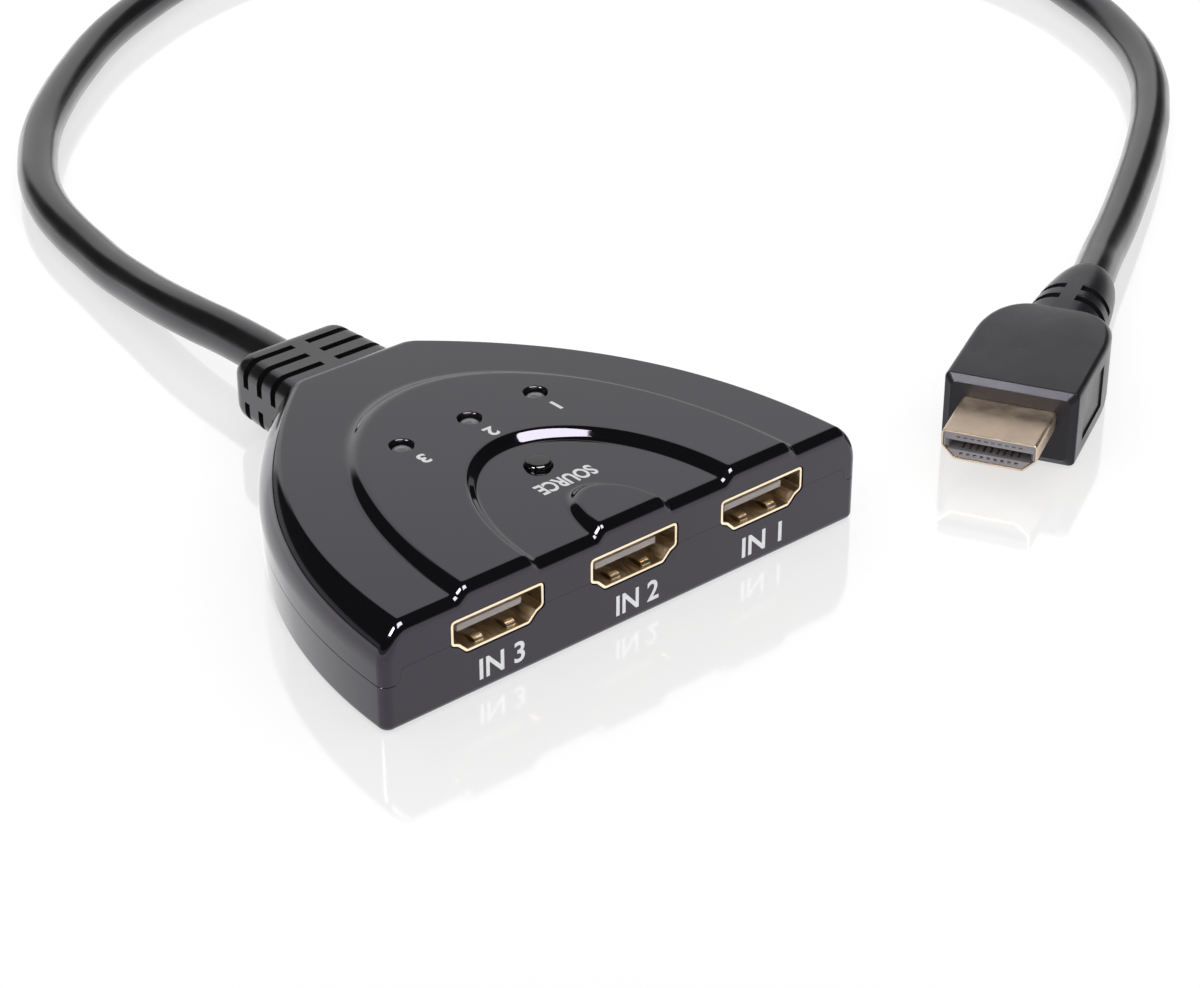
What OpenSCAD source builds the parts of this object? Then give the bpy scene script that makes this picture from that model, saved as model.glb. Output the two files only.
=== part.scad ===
// Three-input video switch box with a captive output lead.
// Lengths are millimetres. X runs along the socket face, Y from the sockets to the cable, Z up.
// The origin lies on the base, in the middle of the housing.

/* [Housing] */
// Width across the socket face at the base
body_w = 82.4; // [79:0.2:96]
// Depth from the socket face to the cable end
body_d = 62; // [58:0.5:72]
// Width of the cable end at the base
rear_w = 25.6; // [24:0.2:32]
// Height of the outer ring and of the inner tier
low_h = 15.1; // [14.6:0.1:18]
// Thickness of the covers' walls
wall = 1.6; // [1.2:0.1:2]
// Inward lean of the curved sides, from the base to the top
side_lean = 1.2; // [0.4:0.1:2]
// Rounding of the top edge along the sides and the cable end
side_round = 2.4; // [1.2:0.1:2.5]
// Rounding of the top edge above the sockets
front_round = 1.6; // [0.8:0.1:2]
// Rounding of the bottom edge
base_round = 1; // [0.4:0.1:1.4]
// Radius of the upright corners of the socket face
front_corner_r = 1.5; // [1:0.1:3]
// Radius of the upright corners of the cable end
rear_corner_r = 3; // [2:0.1:4]
// Height of the seam between the covers
seam_h = 6.7; // [5.8:0.1:7.5]
// Rise of the seam along the socket face
lip_h = 2.1; // [1:0.1:3]

/* [Stepped top] */
// Rise of the horseshoe and the half-moon above the low tiers
tier_step = 1.2; // [0.8:0.1:2]
// Width of the horseshoe at the socket face, at mid-step
shoe_w = 56.8; // [50:0.2:64]
// Reach of the horseshoe from the socket face, at mid-step
shoe_d = 47.8; // [42:0.2:52]
// Plan width of the slope round the horseshoe
shoe_ramp = 1.7; // [0.8:0.1:3]
// Width of the inner tier at the socket face, at mid-step
inner_w = 33.6; // [30:0.2:38]
// Reach of the inner tier from the socket face, at mid-step
inner_d = 26.4; // [24.5:0.2:28]
// Plan width of the slope round the inner tier
inner_ramp = 3; // [1:0.1:4]
// Width of the half-moon at the socket face, at mid-step
moon_w = 11.6; // [8:0.2:16]
// Reach of the half-moon from the socket face, at mid-step
moon_d = 10.4; // [7:0.2:13]
// Plan width of the slope round the half-moon
moon_ramp = 1.2; // [0.6:0.1:2]

/* [Sockets] */
// Distance between neighbouring sockets
socket_pitch = 22.86; // [19:0.02:25]
// Outer width of a socket's shell
socket_w = 15; // [14.8:0.1:15.4]
// Outer height of a socket's shell
socket_h = 5.3; // [5.2:0.1:5.6]
// Depth of a socket's shell
socket_depth = 11; // [10:0.1:12]
// Sheet thickness of a socket's shell
shell_t = 0.4; // [0.3:0.05:0.5]
// Gap between a shell and its window in the housing
window_gap = 0.25; // [0.1:0.05:0.5]
// Width of the contact tongue
tongue_w = 10.4; // [10:0.1:11.4]
// Thickness of the contact tongue
tongue_t = 0.9; // [0.8:0.05:1.1]
// Distance of the tongue's tip behind the socket's mouth
tongue_setback = 1.8; // [1.2:0.1:2.4]

/* [Circuit board] */
// Gap between the sockets' shells and the roof of the housing
roof_gap = 1.4; // [0.8:0.1:1.8]
// Thickness of the board
board_t = 1.2; // [0.8:0.1:1.6]
// Gap between the board's edge and the housing
board_gap = 0.4; // [0.2:0.1:0.8]
// Distance of the board's rear edge from the cable end
board_rear = 9; // [8.5:0.5:11]

/* [Indicator lights] */
// Distance between neighbouring lights
led_pitch = 11.7; // [9:0.1:13]
// Distance of the lights from the socket face
led_setback = 34.1; // [33:0.1:35]
// Diameter of a light's lens
led_d = 3; // [2.8:0.1:3.2]
// Depth of the lens tip below the surface round it
led_sink = 0.6; // [0.2:0.1:1]
// Widening of a light's hole at the surface
led_flare = 0.3; // [0.2:0.1:1]

/* [Select key] */
// Distance of the key from the socket face
key_setback = 19.5; // [18.5:0.1:20.5]
// Diameter of the key
key_d = 3.8; // [3.2:0.1:4.4]
// Height of the key above the inner tier
key_proud = 1; // [0.7:0.05:1.2]
// Running gap round the key
key_gap = 0.1; // [0.05:0.05:0.1]

/* [Fasteners] */
// Diameter of the case screws
screw_d = 2; // [1.8:0.1:2.2]
// Diameter of the screws' heads
screw_head_d = 3.6; // [3.2:0.1:4]
// Outer diameter of the screw posts
post_d = 5.4; // [5:0.1:6.2]

/* [Cable] */
// Diameter of the cable
cable_d = 7; // [6:0.1:7.4]
// Width of the strain relief at the housing
boot_w = 20.8; // [18:0.2:22]
// Height of the strain relief at the housing
boot_h = 10.8; // [10:0.1:11]
// Length of the strain relief outside the housing
boot_l = 15.5; // [14.5:0.5:20]
// Corner radius of the strain relief
boot_r = 2.6; // [2:0.1:3.2]
// Drop of the cable's axis below the middle of the housing's inside
boot_drop = 0.25; // [0:0.05:0.4]
// Width of the flex slots in the strain relief
slot_w = 1.3; // [0.8:0.1:1.6]
// Distance between rows of flex slots
slot_pitch = 3.6; // [3:0.1:4]
// Depth of the flex slots
slot_depth = 1.2; // [0.6:0.1:1.4]
// Width of the ribs between flex slots
slot_rib = 2.4; // [1.6:0.1:3]

/* [Plug] */
// Width of the plug's grip
plug_w = 19.9; // [18:0.1:22]
// Height of the plug's grip
plug_h = 11.8; // [10:0.1:12]
// Length of the straight part of the grip
grip_l = 16; // [13:0.5:18]
// Length of the grip and its rounded shoulders together
shoulder_end = 28.6; // [26:0.2:31]
// Length of the grip and its neck together
plug_l = 48; // [45:0.5:52]
// Diameter of the neck at the cable
neck_d = 8.2; // [7.8:0.1:9]
// Outer width of the plug's shell
tip_w = 13.9; // [13.6:0.1:14]
// Outer height of the plug's shell
tip_h = 4.45; // [4.3:0.05:4.5]
// Length of the plug's shell outside the grip
tip_l = 10.7; // [9:0.1:12]
// Sheet thickness of the plug's shell
tip_t = 0.3; // [0.2:0.05:0.35]

/* [Hidden] */
$fn = 48;
eps = 0.01;

black_plastic = "#1c1b1e";
black_rubber = "#242326";
gold = "#c9a25a";
steel = "#b8babd";
grey_resin = "#8d8990";

// Housing derived from the driving sizes
front_y = -body_d / 2;
rear_y = body_d / 2;
high_h = low_h + tier_step;
roof_h = low_h - wall;
half_front = body_w / 2;
taper = half_front - rear_w / 2;
side_r = (body_d * body_d + taper * taper) / (2 * taper);
side_centre = [half_front - side_r, front_y];
inner_inset = side_lean + wall;
corner_steps = 6;
side_steps = 24;
edge_turn = 15;
tier_turn = 6;
slope_steps = 6;
tier_root = front_round + 0.1;
tier_cut = 0.1;
lip_clear = 0.1;
lip_half = half_front - side_lean - front_corner_r - lip_clear;
lip_curve = min(0.9, lip_h / 2);
seam_reveal = 0.08;

// Board, posts and screws
board_h = roof_h - roof_gap - socket_h;
board_bottom = board_h - board_t;
board_rear_y = rear_y - board_rear;
front_post_in = 10.2;
front_post_back = 6;
rear_post_out = 1.2;
rear_post_in = 13;
post_places = [
    for (side = [-1, 1]) each [
        [side * (half_front - front_post_in), front_y + socket_depth + front_post_back],
        [side * (rear_w / 2 + rear_post_out), rear_y - rear_post_in]
    ]
];
screw_clear = 0.2;
screw_head_h = 1.3;
screw_seat = 2;
screw_grip = 4.4;
screw_fit = 0.04;
drive_w = 2.2;
drive_t = 0.5;
drive_deep = 0.7;

// Sockets
socket_places = [1, 0, -1];
shell_mouth = front_y + 0.1;
shell_rear = shell_mouth + socket_depth;
socket_flat = socket_w - 4.8;
socket_side = 1.75;
socket_ledge = [socket_w - 2.2, 1.3];
shell_corner_r = 0.5;
shell_fit = 0.05;
block_l = 3.6;
tongue_top = board_h + (socket_h + tongue_t) / 2;
contact_w = 0.3;
contact_t = 0.15;
contact_pitch = 1;
contact_rows = [10, 9];
contact_tip = 0.4;
contact_foot = 0.9;
leg_w = 1.6;
leg_gap = 0.2;
leg_below = 0.6;
leg_places = [2.9, 8.4];
spring_x = 2.6;
spring_w = 1.4;
spring_l = 3.4;
spring_rise = 0.6;
spring_setback = 0.7;

// Lights
led_y = front_y + led_setback;
led_places = [led_pitch, 0, -led_pitch];
led_l = 5.3;
led_tip = high_h - led_sink;
led_base = led_tip - led_l;
led_rim = 0.8;
led_rim_h = 1;
led_gap = 0.15;
led_hole_d = led_d + 2 * led_gap;
lead_t = 0.5;
lead_pitch = 2.54;
lead_below = 1;
lead_gap = 0.15;

// Select key and its switch
key_y = front_y + key_setback;
key_travel = 0.3;
key_round = 0.6;
key_flange_d = key_d + 1.9;
key_flange_h = 0.9;
key_stop_gap = 0.1;
key_stem_d = 3;
tact_w = 6;
tact_h = 3.4;
tact_cover_t = 0.3;
plunger_d = 3.4;
plunger_top = board_h + tact_h + 1.1;
plunger_rim = 0.5;
well_d = 4.6;
well_h = 1.9;
dome_rise = 0.5;
dome_t = 0.1;
dome_gap = 0.05;
well_floor = board_h + tact_h - well_h;
plunger_foot = well_floor + dome_rise + key_travel + dome_gap;
terminal_w = 0.7;
terminal_t = 0.3;
terminal_places = [[-1, -1], [1, -1], [-1, 1], [1, 1]];
terminal_y = 2.25;

// Strain relief and cable
boot_z = (wall + roof_h) / 2 - boot_drop;
boot_end = rear_y + boot_l;
boot_neck = [12, cable_d + 1.4];
boot_flange = [15.6, cable_d + 2.6];
flange_t = 2;
boot_fit = 0.1;
boot_draft = [0.7, 0.3];
boot_end_round = [2.2, 1.3];
bore_fit = 0.05;
slot_rows = 3;
slot_first = rear_y + 4.6;
flange_front = rear_y - wall - boot_fit - flange_t;
jacket_end = flange_front - 3;
wire_d = 0.7;
wire_count = 8;
wire_ring = 2.8;
pad_pitch = 1.3;
pad_setback = 1.2;
wire_lift = 0.45;

// Parts on the board
chip_place = [0, (led_y + board_rear_y - pad_setback) / 2];
chip_w = 10;
chip_h = 1.4;
chip_gap = 0.1;
chip_mark_d = 0.9;
chip_mark_in = 1.2;
chip_mark_deep = 0.1;
chip_leads = 16;
chip_lead_pitch = 0.5;
chip_lead_w = 0.22;
chip_lead_t = 0.14;
chip_lead_out = 1;
regulator_place = [-socket_pitch + 6, led_y + 4];
regulator_size = [4.5, 2.5, 1.5];
regulator_lead = [0.45, 1];
part_size = [1.6, 0.8];
capacitor_h = 0.8;
resistor_h = 0.45;
part_pitch = 2.6;
part_row_back = 15.4;
part_row_y = shell_rear + part_row_back;
part_rows = 5;
part_stand_off = 3;

// Plug, lying on the same surface as the housing
plug_place = [69.86, -33.11, plug_h / 2];
plug_turn = -63;
plug_way = [-sin(plug_turn), cos(plug_turn), 0];
grip_bevel = [1, 0.75];
grip_corner = 0.9;
shoulder_corner = 4.2;
neck_root = [12.6, 10.2];
neck_turn = 70;
neck_sunk = 2;
neck_slot_rows = 2;
neck_slot_first = 4.4;
neck_slot_pitch = 4;
neck_slot_deep = 0.9;
grip_hollow = [11.5, 6.8, 0.4];
grip_hollow_in = 4.5;
tip_flat = tip_w - 3.9;
tip_side = 1.9;
tip_lift = 0.5;
tip_root = 3;
tip_fit = 0.05;
tip_slot = [tip_w - 2, 1.5];
tip_slot_l = 8;
tip_contact_in = 1;
tip_contact_l = 6;
latch = [2, 1.6];
latch_x = 3.2;
latch_y = 6;

// Route of the cable from the strain relief to the plug
cable_start = [0, boot_end, boot_z];
cable_end = plug_place + plug_l * plug_way;
lie = cable_d / 2;
cable_route = [
    cable_start, [0, 54, 7.2], [0, 62, 6.9], [0, 71, 6.2], [0.5, 80, 5.3], [1.5, 89, 4.4], [2.5, 98, 3.8],
    [4, 107, lie], [5.5, 116, lie], [8, 126, lie], [12, 136, lie], [18, 146.5, lie], [25.5, 157, lie],
    [35, 167.5, lie], [46, 178, lie], [58, 188, lie], [71, 196.5, lie], [91, 206.5, lie], [111, 212, lie],
    [132, 213, lie], [152, 209, lie], [171, 201.5, lie], [188, 190, lie], [202, 175.5, lie], [213, 158, lie],
    [220, 138.5, lie], [223, 118.5, lie], [221.5, 98, lie], [215.5, 79, lie], [207, 61.5, lie],
    [196, 46.5, lie], [182, 33.5, lie], [167, 22.5, lie], [150.5, 11.8, lie], [136.3, 3.1, 3.8],
    [124, -4.2, 4.7], [117.9, -8.1, 5.4], cable_end
];
cable_sides = 10;

// Points on an arc about c, from angle a to angle b
function arc(c, r, a, b, n) =
    [for (i = [0:n]) let (t = a + (b - a) * i / n) c + r * [cos(t), sin(t)]];

// The same outline followed by its mirror image across the YZ plane
function both_sides(half) =
    concat(half, [for (i = [len(half) - 1:-1:0]) [-half[i].x, half[i].y]]);

// Plan outline of the housing, drawn in at its sides, front and rear
function case_outline(side, front, rear) =
    let (
        r = side_r - side,
        front_c_y = front_y + front + front_corner_r,
        rear_c_y = rear_y - rear - rear_corner_r,
        front_c_x = side_centre.x + sqrt(pow(r - front_corner_r, 2) - pow(front_c_y - side_centre.y, 2)),
        rear_c_x = side_centre.x + sqrt(pow(r - rear_corner_r, 2) - pow(rear_c_y - side_centre.y, 2)),
        a = atan2(front_c_y - side_centre.y, front_c_x - side_centre.x),
        b = atan2(rear_c_y - side_centre.y, rear_c_x - side_centre.x),
        flank = arc(side_centre, r, a, b, side_steps)
    )
    both_sides(concat(
        arc([front_c_x, front_c_y], front_corner_r, -90, a, corner_steps),
        [for (i = [1:side_steps - 1]) flank[i]],
        arc([rear_c_x, rear_c_y], rear_corner_r, b, 90, corner_steps)
    ));

// How far a rounded edge has drawn the wall in, at height z of a block of height h
function drawn_in(z, h, top_r, base_r) =
    (z < base_r ? base_r - sqrt(max(0, base_r * base_r - pow(base_r - z, 2))) : 0)
    + (z > h - top_r ? top_r - sqrt(max(0, top_r * top_r - pow(z - h + top_r, 2))) : 0);

// Outline of the housing's outside at height z
function case_ring(z) =
    [for (p = case_outline(
        side_lean * z / low_h + drawn_in(z, low_h, side_round, base_round),
        drawn_in(z, low_h, front_round, base_round),
        drawn_in(z, low_h, side_round, base_round)
    )) [p.x, p.y, z]];

// Half an ellipse that stands on the socket face, carried a little in front of it
function half_ellipse(a, b) = concat(
    [[a, front_y - 1]],
    [for (t = [0:tier_turn:180]) [a * cos(t), front_y + b * sin(t)]],
    [[-a, front_y - 1]]
);

// Rings of a tier whose edge slopes in (lean 1) or out (lean -1) as it rises
function tier_rings(w, d, ramp, lean) =
    let (
        level = function (q) let (s = lean * ramp * (0.5 - q)) half_ellipse(w / 2 + s, d + s),
        lifted = function (q, z) [for (p = level(q)) [p.x, p.y, z]],
        middle = low_h + tier_step / 2,
        swing = tier_step / 2 + tier_cut
    )
    concat(
        [lifted(0, low_h - tier_root)],
        [for (i = [0:slope_steps]) lifted(i / slope_steps, middle - swing * cos(180 * i / slope_steps))],
        [lifted(1, high_h + 1)]
    );

// Rounded rectangle about the origin, n steps to each corner
function round_box(w, h, r, n) = concat(
    arc([w / 2 - r, h / 2 - r], r, 0, 90, n),
    arc([r - w / 2, h / 2 - r], r, 90, 180, n),
    arc([r - w / 2, r - h / 2], r, 180, 270, n),
    arc([w / 2 - r, r - h / 2], r, 270, 360, n)
);

// Solid through a stack of rings with equal numbers of points
module loft(rings) {
    n = len(rings[0]);
    m = len(rings);
    caps = [[for (i = [0:n - 1]) i], [for (i = [n - 1:-1:0]) (m - 1) * n + i]];
    sides = [
        for (j = [0:m - 2])
            for (i = [0:n - 1])
                [j * n + i, (j + 1) * n + i, (j + 1) * n + (i + 1) % n, j * n + (i + 1) % n]
    ];
    polyhedron([for (ring = rings) each ring], concat(caps, sides));
}

// Extrusion along +X of a profile drawn in Y and Z
module along_x(length) rotate([90, 0, 90]) linear_extrude(length) children();

// Extrusion along +Y, from y, of a profile drawn in X and Z
module along_y(y, length)
    translate([0, y, 0]) rotate([90, 0, 0]) mirror([0, 0, 1]) linear_extrude(length) children();

// Upright cylinder from z to top
module peg(place, d, z, top) translate([place.x, place.y, z]) cylinder(d = d, h = top - z);

// Box between two corners
module block(low, high) translate(low) cube(high - low);

// Moves its children to the three sockets' places
module at_socket(n) translate([socket_places[n - 1] * socket_pitch, 0, 0]) children();

// Face of the raised tiers, with the rounded edge above the sockets
module raised_front() {
    centre = [front_y + front_round, high_h - front_round];
    low = low_h - tier_root - 1;
    translate([-half_front, 0, 0]) along_x(body_w)
        polygon(concat(
            [[front_y, low]],
            arc(centre, front_round, 180, 90, corner_steps),
            [[rear_y, high_h], [rear_y, low]]
        ));
}

// Horseshoe and half-moon that stand above the low tiers
module raised_tiers() {
    intersection() {
        union() {
            difference() {
                loft(tier_rings(shoe_w, shoe_d, shoe_ramp, 1));
                loft(tier_rings(inner_w, inner_d, inner_ramp, -1));
            }
            loft(tier_rings(moon_w, moon_d, moon_ramp, 1));
        }
        raised_front();
    }
}

// Front view of the bottom cover's lip along the socket face
module lip_profile(grow) {
    top = seam_h + lip_h + grow;
    foot = lip_half + grow;
    r = lip_curve;
    polygon(both_sides(concat(
        [[foot, seam_h - 1]],
        arc([foot + r, seam_h + r], r, -90, -180, corner_steps),
        arc([foot - r, top - r], r, 0, 90, corner_steps)
    )));
}

// Mouth of a socket: wide above, stepped in at both lower corners
module socket_profile(grow) {
    half = [
        [socket_flat / 2, 0], [socket_ledge.x / 2, socket_ledge.y],
        [socket_w / 2, socket_side], [socket_w / 2, socket_h]
    ];
    translate([0, board_h]) offset(r = shell_corner_r)
        offset(delta = grow - shell_corner_r) polygon(both_sides(half));
}

// Windows in the housing for the three sockets
module socket_windows() {
    for (n = [1:3]) at_socket(n) along_y(front_y - 1, wall + 2) socket_profile(window_gap);
}

// Passage in the cable end for the neck of the strain relief
module boot_passage() {
    translate([0, rear_y - wall - 1, boot_z]) rotate([-90, 0, 0])
        linear_extrude(wall + 2) square(boot_neck + 2 * boot_fit * [1, 1], center = true);
}

// Upper cover with its stepped top, screw posts and openings
module top_cover() color(black_plastic) {
    levels = [seam_h + seam_reveal, for (t = [0:edge_turn:90]) low_h - side_round + side_round * sin(t)];
    difference() {
        union() {
            difference() {
                union() {
                    loft([for (z = levels) case_ring(z)]);
                    raised_tiers();
                }
                translate([0, 0, seam_h - 1]) linear_extrude(roof_h - seam_h + 1)
                    polygon(case_outline(inner_inset, wall, wall));
            }
            for (p = post_places) peg(p, post_d, board_h, roof_h + wall / 2);
        }
        for (p = post_places) peg(p, screw_d + 2 * screw_fit, board_h - 1, board_h + screw_grip + 0.4);
        along_y(front_y - 1, wall + 1) lip_profile(seam_reveal);
        socket_windows();
        boot_passage();
        for (x = led_places) {
            peg([x, led_y], led_hole_d, roof_h - 1, high_h + 1);
            translate([x, led_y, high_h - led_flare])
                cylinder(d1 = led_hole_d, d2 = led_hole_d + 4 * led_flare, h = 2 * led_flare);
        }
        peg([0, key_y], key_d + 2 * key_gap, roof_h - 1, low_h + 1);
    }
}

// Lower cover: flat base, board posts, and the lip below the sockets
module bottom_cover() color(black_plastic) {
    levels = [for (t = [0:edge_turn * 2:90]) base_round * (1 - cos(t)), seam_h];
    difference() {
        union() {
            difference() {
                union() {
                    loft([for (z = levels) case_ring(z)]);
                    along_y(front_y, wall) lip_profile(0);
                }
                translate([0, 0, wall]) linear_extrude(seam_h)
                    polygon(case_outline(inner_inset, wall, wall));
            }
            for (p = post_places) peg(p, post_d, wall / 2, board_bottom);
        }
        for (p = post_places) {
            peg(p, screw_d + 2 * screw_clear, -1, board_h);
            peg(p, screw_head_d + 2 * screw_clear, -1, screw_seat);
        }
        socket_windows();
        boot_passage();
    }
}

// Pan-head screws that hold both covers and the board together from beneath
module case_screws() color(steel) {
    for (p = post_places) translate([p.x, p.y, screw_seat]) {
        difference() {
            union() {
                cylinder(d = screw_d, h = board_h + screw_grip - screw_seat);
                translate([0, 0, -screw_head_h]) cylinder(d = screw_head_d, h = screw_head_h);
            }
            for (turn = [0, 90]) rotate([0, 0, turn])
                block(
                    [-drive_w / 2, -drive_t / 2, -screw_head_h - 1],
                    [drive_w / 2, drive_t / 2, drive_deep - screw_head_h]
                );
        }
    }
}

// Printed circuit board, with holes for the screws, shell legs, lights and switch
module circuit_board() color("#1d4a2c") {
    translate([0, 0, board_bottom]) linear_extrude(board_t) difference() {
        intersection() {
            polygon(case_outline(inner_inset + board_gap, wall + board_gap, wall));
            translate([-half_front, front_y]) square([body_w, board_rear_y - front_y]);
        }
        for (p = post_places) translate(p) circle(d = screw_d + 2 * screw_clear);
        for (n = [1:3]) at_socket(n) for (side = [-1, 1]) for (y = leg_places)
            translate([side * (socket_w - shell_t) / 2, shell_mouth + y])
                square([shell_t + 2 * leg_gap, leg_w + 2 * leg_gap], center = true);
        for (x = led_places) for (side = [-1, 1])
            translate([x + side * lead_pitch / 2, led_y]) square(lead_t + 2 * lead_gap, center = true);
        for (p = terminal_places) translate([p.x * tact_w / 2, key_y + p.y * terminal_y])
            square([terminal_t + 2 * lead_gap, terminal_w + 2 * lead_gap], center = true);
    }
}

// Plated shell of one socket, with its springs and board legs
module socket_shell(n) color(gold) at_socket(n) {
    floor_h = board_h + shell_t;
    difference() {
        along_y(shell_mouth, socket_depth) socket_profile(0);
        along_y(shell_mouth - 1, socket_depth + 2) socket_profile(-shell_t);
    }
    for (side = [-1, 1]) {
        translate([side * spring_x - spring_w / 2, shell_mouth + spring_setback, 0]) along_x(spring_w)
            polygon([
                [0, floor_h - shell_t / 2], [0, floor_h + 0.1], [spring_l * 0.2, floor_h + spring_rise],
                [spring_l * 0.45, floor_h + spring_rise], [spring_l, floor_h - shell_t / 2]
            ]);
        for (y = leg_places)
            translate([side * (socket_w - shell_t) / 2, shell_mouth + y, 0])
                block(
                    [-shell_t / 2, -leg_w / 2, board_bottom - leg_below],
                    [shell_t / 2, leg_w / 2, board_h + socket_side + shell_corner_r + 0.3]
                );
    }
}

// One contact: a strip on the tongue, carried through the block and down to the board
module socket_contact(z, gap) {
    tip = shell_mouth + tongue_setback + contact_tip;
    back = shell_rear + contact_t;
    translate([-contact_w / 2 - gap, 0, 0]) along_x(contact_w + 2 * gap)
        polygon([
            [tip - gap, z - gap], [tip - gap, z + contact_t + gap],
            [back + contact_t + gap, z + contact_t + gap], [back + contact_t + gap, board_h + contact_t],
            [back + contact_foot, board_h + contact_t], [back + contact_foot, board_h],
            [back - gap, board_h], [back - gap, z - gap]
        ]);
}

// All the contacts of a socket: one row on each face of the tongue
module socket_contact_rows(gap) {
    levels = [tongue_top, tongue_top - tongue_t - contact_t];
    for (row = [0, 1])
        for (i = [0:contact_rows[row] - 1])
            translate([(i - (contact_rows[row] - 1) / 2) * contact_pitch, 0, 0])
                socket_contact(levels[row], gap);
}

// Moulded block and tongue of one socket
module socket_insulator(n) color(grey_resin) at_socket(n) {
    tip = shell_mouth + tongue_setback;
    difference() {
        union() {
            along_y(shell_rear - block_l, block_l) socket_profile(-shell_t - shell_fit);
            block(
                [-tongue_w / 2, tip, tongue_top - tongue_t],
                [tongue_w / 2, shell_rear - block_l / 2, tongue_top]
            );
        }
        socket_contact_rows(eps);
    }
}

// Plated contacts of one socket
module socket_contacts(n) color(gold) at_socket(n) socket_contact_rows(0);

// Signal switch chip
module switch_chip() color("#202124")
    translate([chip_place.x, chip_place.y, board_h + chip_gap]) difference() {
        block([-chip_w / 2, -chip_w / 2, 0], [chip_w / 2, chip_w / 2, chip_h]);
        peg([1, 1] * (chip_mark_in - chip_w / 2), chip_mark_d, chip_h - chip_mark_deep, chip_h + 1);
    }

// Gull-wing leads along the chip's four sides
module switch_chip_leads() color(steel) translate([chip_place.x, chip_place.y, board_h]) {
    mid = chip_gap + chip_h / 2;
    for (turn = [0:90:270]) rotate([0, 0, turn])
        for (i = [0:chip_leads - 1])
            translate([(i - (chip_leads - 1) / 2) * chip_lead_pitch - chip_lead_w / 2, chip_w / 2, 0])
                along_x(chip_lead_w) polygon([
                    [0, mid], [0, mid + chip_lead_t], [chip_lead_out * 0.4, mid + chip_lead_t],
                    [chip_lead_out * 0.6, chip_lead_t], [chip_lead_out, chip_lead_t], [chip_lead_out, 0],
                    [chip_lead_out * 0.5, 0], [chip_lead_out * 0.3, mid]
                ]);
}

// Voltage regulator with its three leads and heat tab
module voltage_regulator() color("#2a2a2d") translate([regulator_place.x, regulator_place.y, board_h]) {
    translate([-regulator_size.x / 2, -regulator_size.y / 2, 0]) cube(regulator_size);
    for (i = [-1, 0, 1])
        translate([i * 1.5 - regulator_lead.x / 2, -regulator_size.y / 2 - regulator_lead.y, 0])
            cube([regulator_lead.x, regulator_lead.y + 0.2, 0.4]);
    translate([-0.9, regulator_size.y / 2 - 0.2, 0]) cube([1.8, 0.8, 0.4]);
}

// Row of chip parts behind one socket
module chip_row(n, y, h) at_socket(n)
    for (i = [0:part_rows - 1])
        translate([(i - (part_rows - 1) / 2) * part_pitch * 0.8, y, board_h + h / 2])
            cube([part_size.y, part_size.x, h], center = true);

// Ceramic capacitors on the board
module chip_capacitors() color("#b59b78") {
    for (n = [1, 3]) chip_row(n, part_row_y, capacitor_h);
    for (side = [-1, 1]) for (i = [0:2])
        translate([side * (chip_w / 2 + part_stand_off), chip_place.y + (i - 1) * part_pitch, board_h])
            translate([0, 0, capacitor_h / 2]) cube([part_size.x, part_size.y, capacitor_h], center = true);
}

// Chip resistors on the board
module chip_resistors() color("#26262a") {
    for (n = [1, 3]) chip_row(n, part_row_y + part_pitch, resistor_h);
}

// Clear lens of one light
module led_lens(n) color("#e8ecef", 0.6) translate([led_places[n - 1], led_y, led_base]) {
    cylinder(d = led_d + led_rim, h = led_rim_h);
    cylinder(d = led_d, h = led_l - led_d / 2);
    translate([0, 0, led_l - led_d / 2]) sphere(d = led_d);
}

// Square leads that stand the lights off the board
module led_leads() color(steel)
    for (x = led_places) for (side = [-1, 1])
        translate([x + side * lead_pitch / 2, led_y, 0]) block(
            [-lead_t / 2, -lead_t / 2, board_bottom - lead_below],
            [lead_t / 2, lead_t / 2, led_base]
        );

// Select key: round-edged cap, stop flange and stem, turned as one
module select_button() color(black_plastic) translate([0, key_y, 0]) {
    top = low_h + key_proud;
    flange_top = roof_h - key_stop_gap;
    flange_foot = flange_top - key_flange_h;
    rotate_extrude() polygon([
        [0, plunger_top], [key_stem_d / 2, plunger_top], [key_stem_d / 2, flange_foot],
        [key_flange_d / 2, flange_foot], [key_flange_d / 2, flange_top], [key_d / 2, flange_top],
        for (t = [0:edge_turn:90]) [key_d / 2 - key_round * (1 - cos(t)), top - key_round * (1 - sin(t))],
        [0, top]
    ]);
}

// Plunger of the push switch, which the key rests on
module tact_switch_plunger() color("#2b2b2e") translate([0, key_y, 0]) {
    peg([0, 0], plunger_d, plunger_foot, plunger_top);
    peg([0, 0], plunger_d + plunger_rim, plunger_foot, board_h + tact_h - key_stop_gap);
}

// Moulded body of the push switch, with a well for its spring dome
module tact_switch_body() color("#202023") translate([0, key_y, board_h]) difference() {
    translate([-tact_w / 2, -tact_w / 2, 0]) cube([tact_w, tact_w, tact_h]);
    translate([0, 0, tact_h - well_h]) cylinder(d = well_d, h = well_h + 1);
}

// Steel cover plate of the push switch
module tact_switch_cover() color(steel) translate([0, key_y, board_h + tact_h]) difference() {
    translate([-tact_w / 2, -tact_w / 2, 0]) cube([tact_w, tact_w, tact_cover_t]);
    translate([0, 0, -1]) cylinder(d = plunger_d + 2 * key_gap, h = 3);
}

// Spring dome under the plunger
module tact_switch_dome() color(steel) translate([0, key_y, well_floor]) {
    rim = well_d / 2 - key_gap;
    r = (rim * rim + dome_rise * dome_rise) / (2 * dome_rise);
    intersection() {
        difference() {
            translate([0, 0, dome_rise - r]) sphere(r = r, $fn = 96);
            translate([0, 0, dome_rise - r]) sphere(r = r - dome_t, $fn = 96);
        }
        cylinder(r = rim, h = dome_rise + 1);
    }
}

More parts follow.
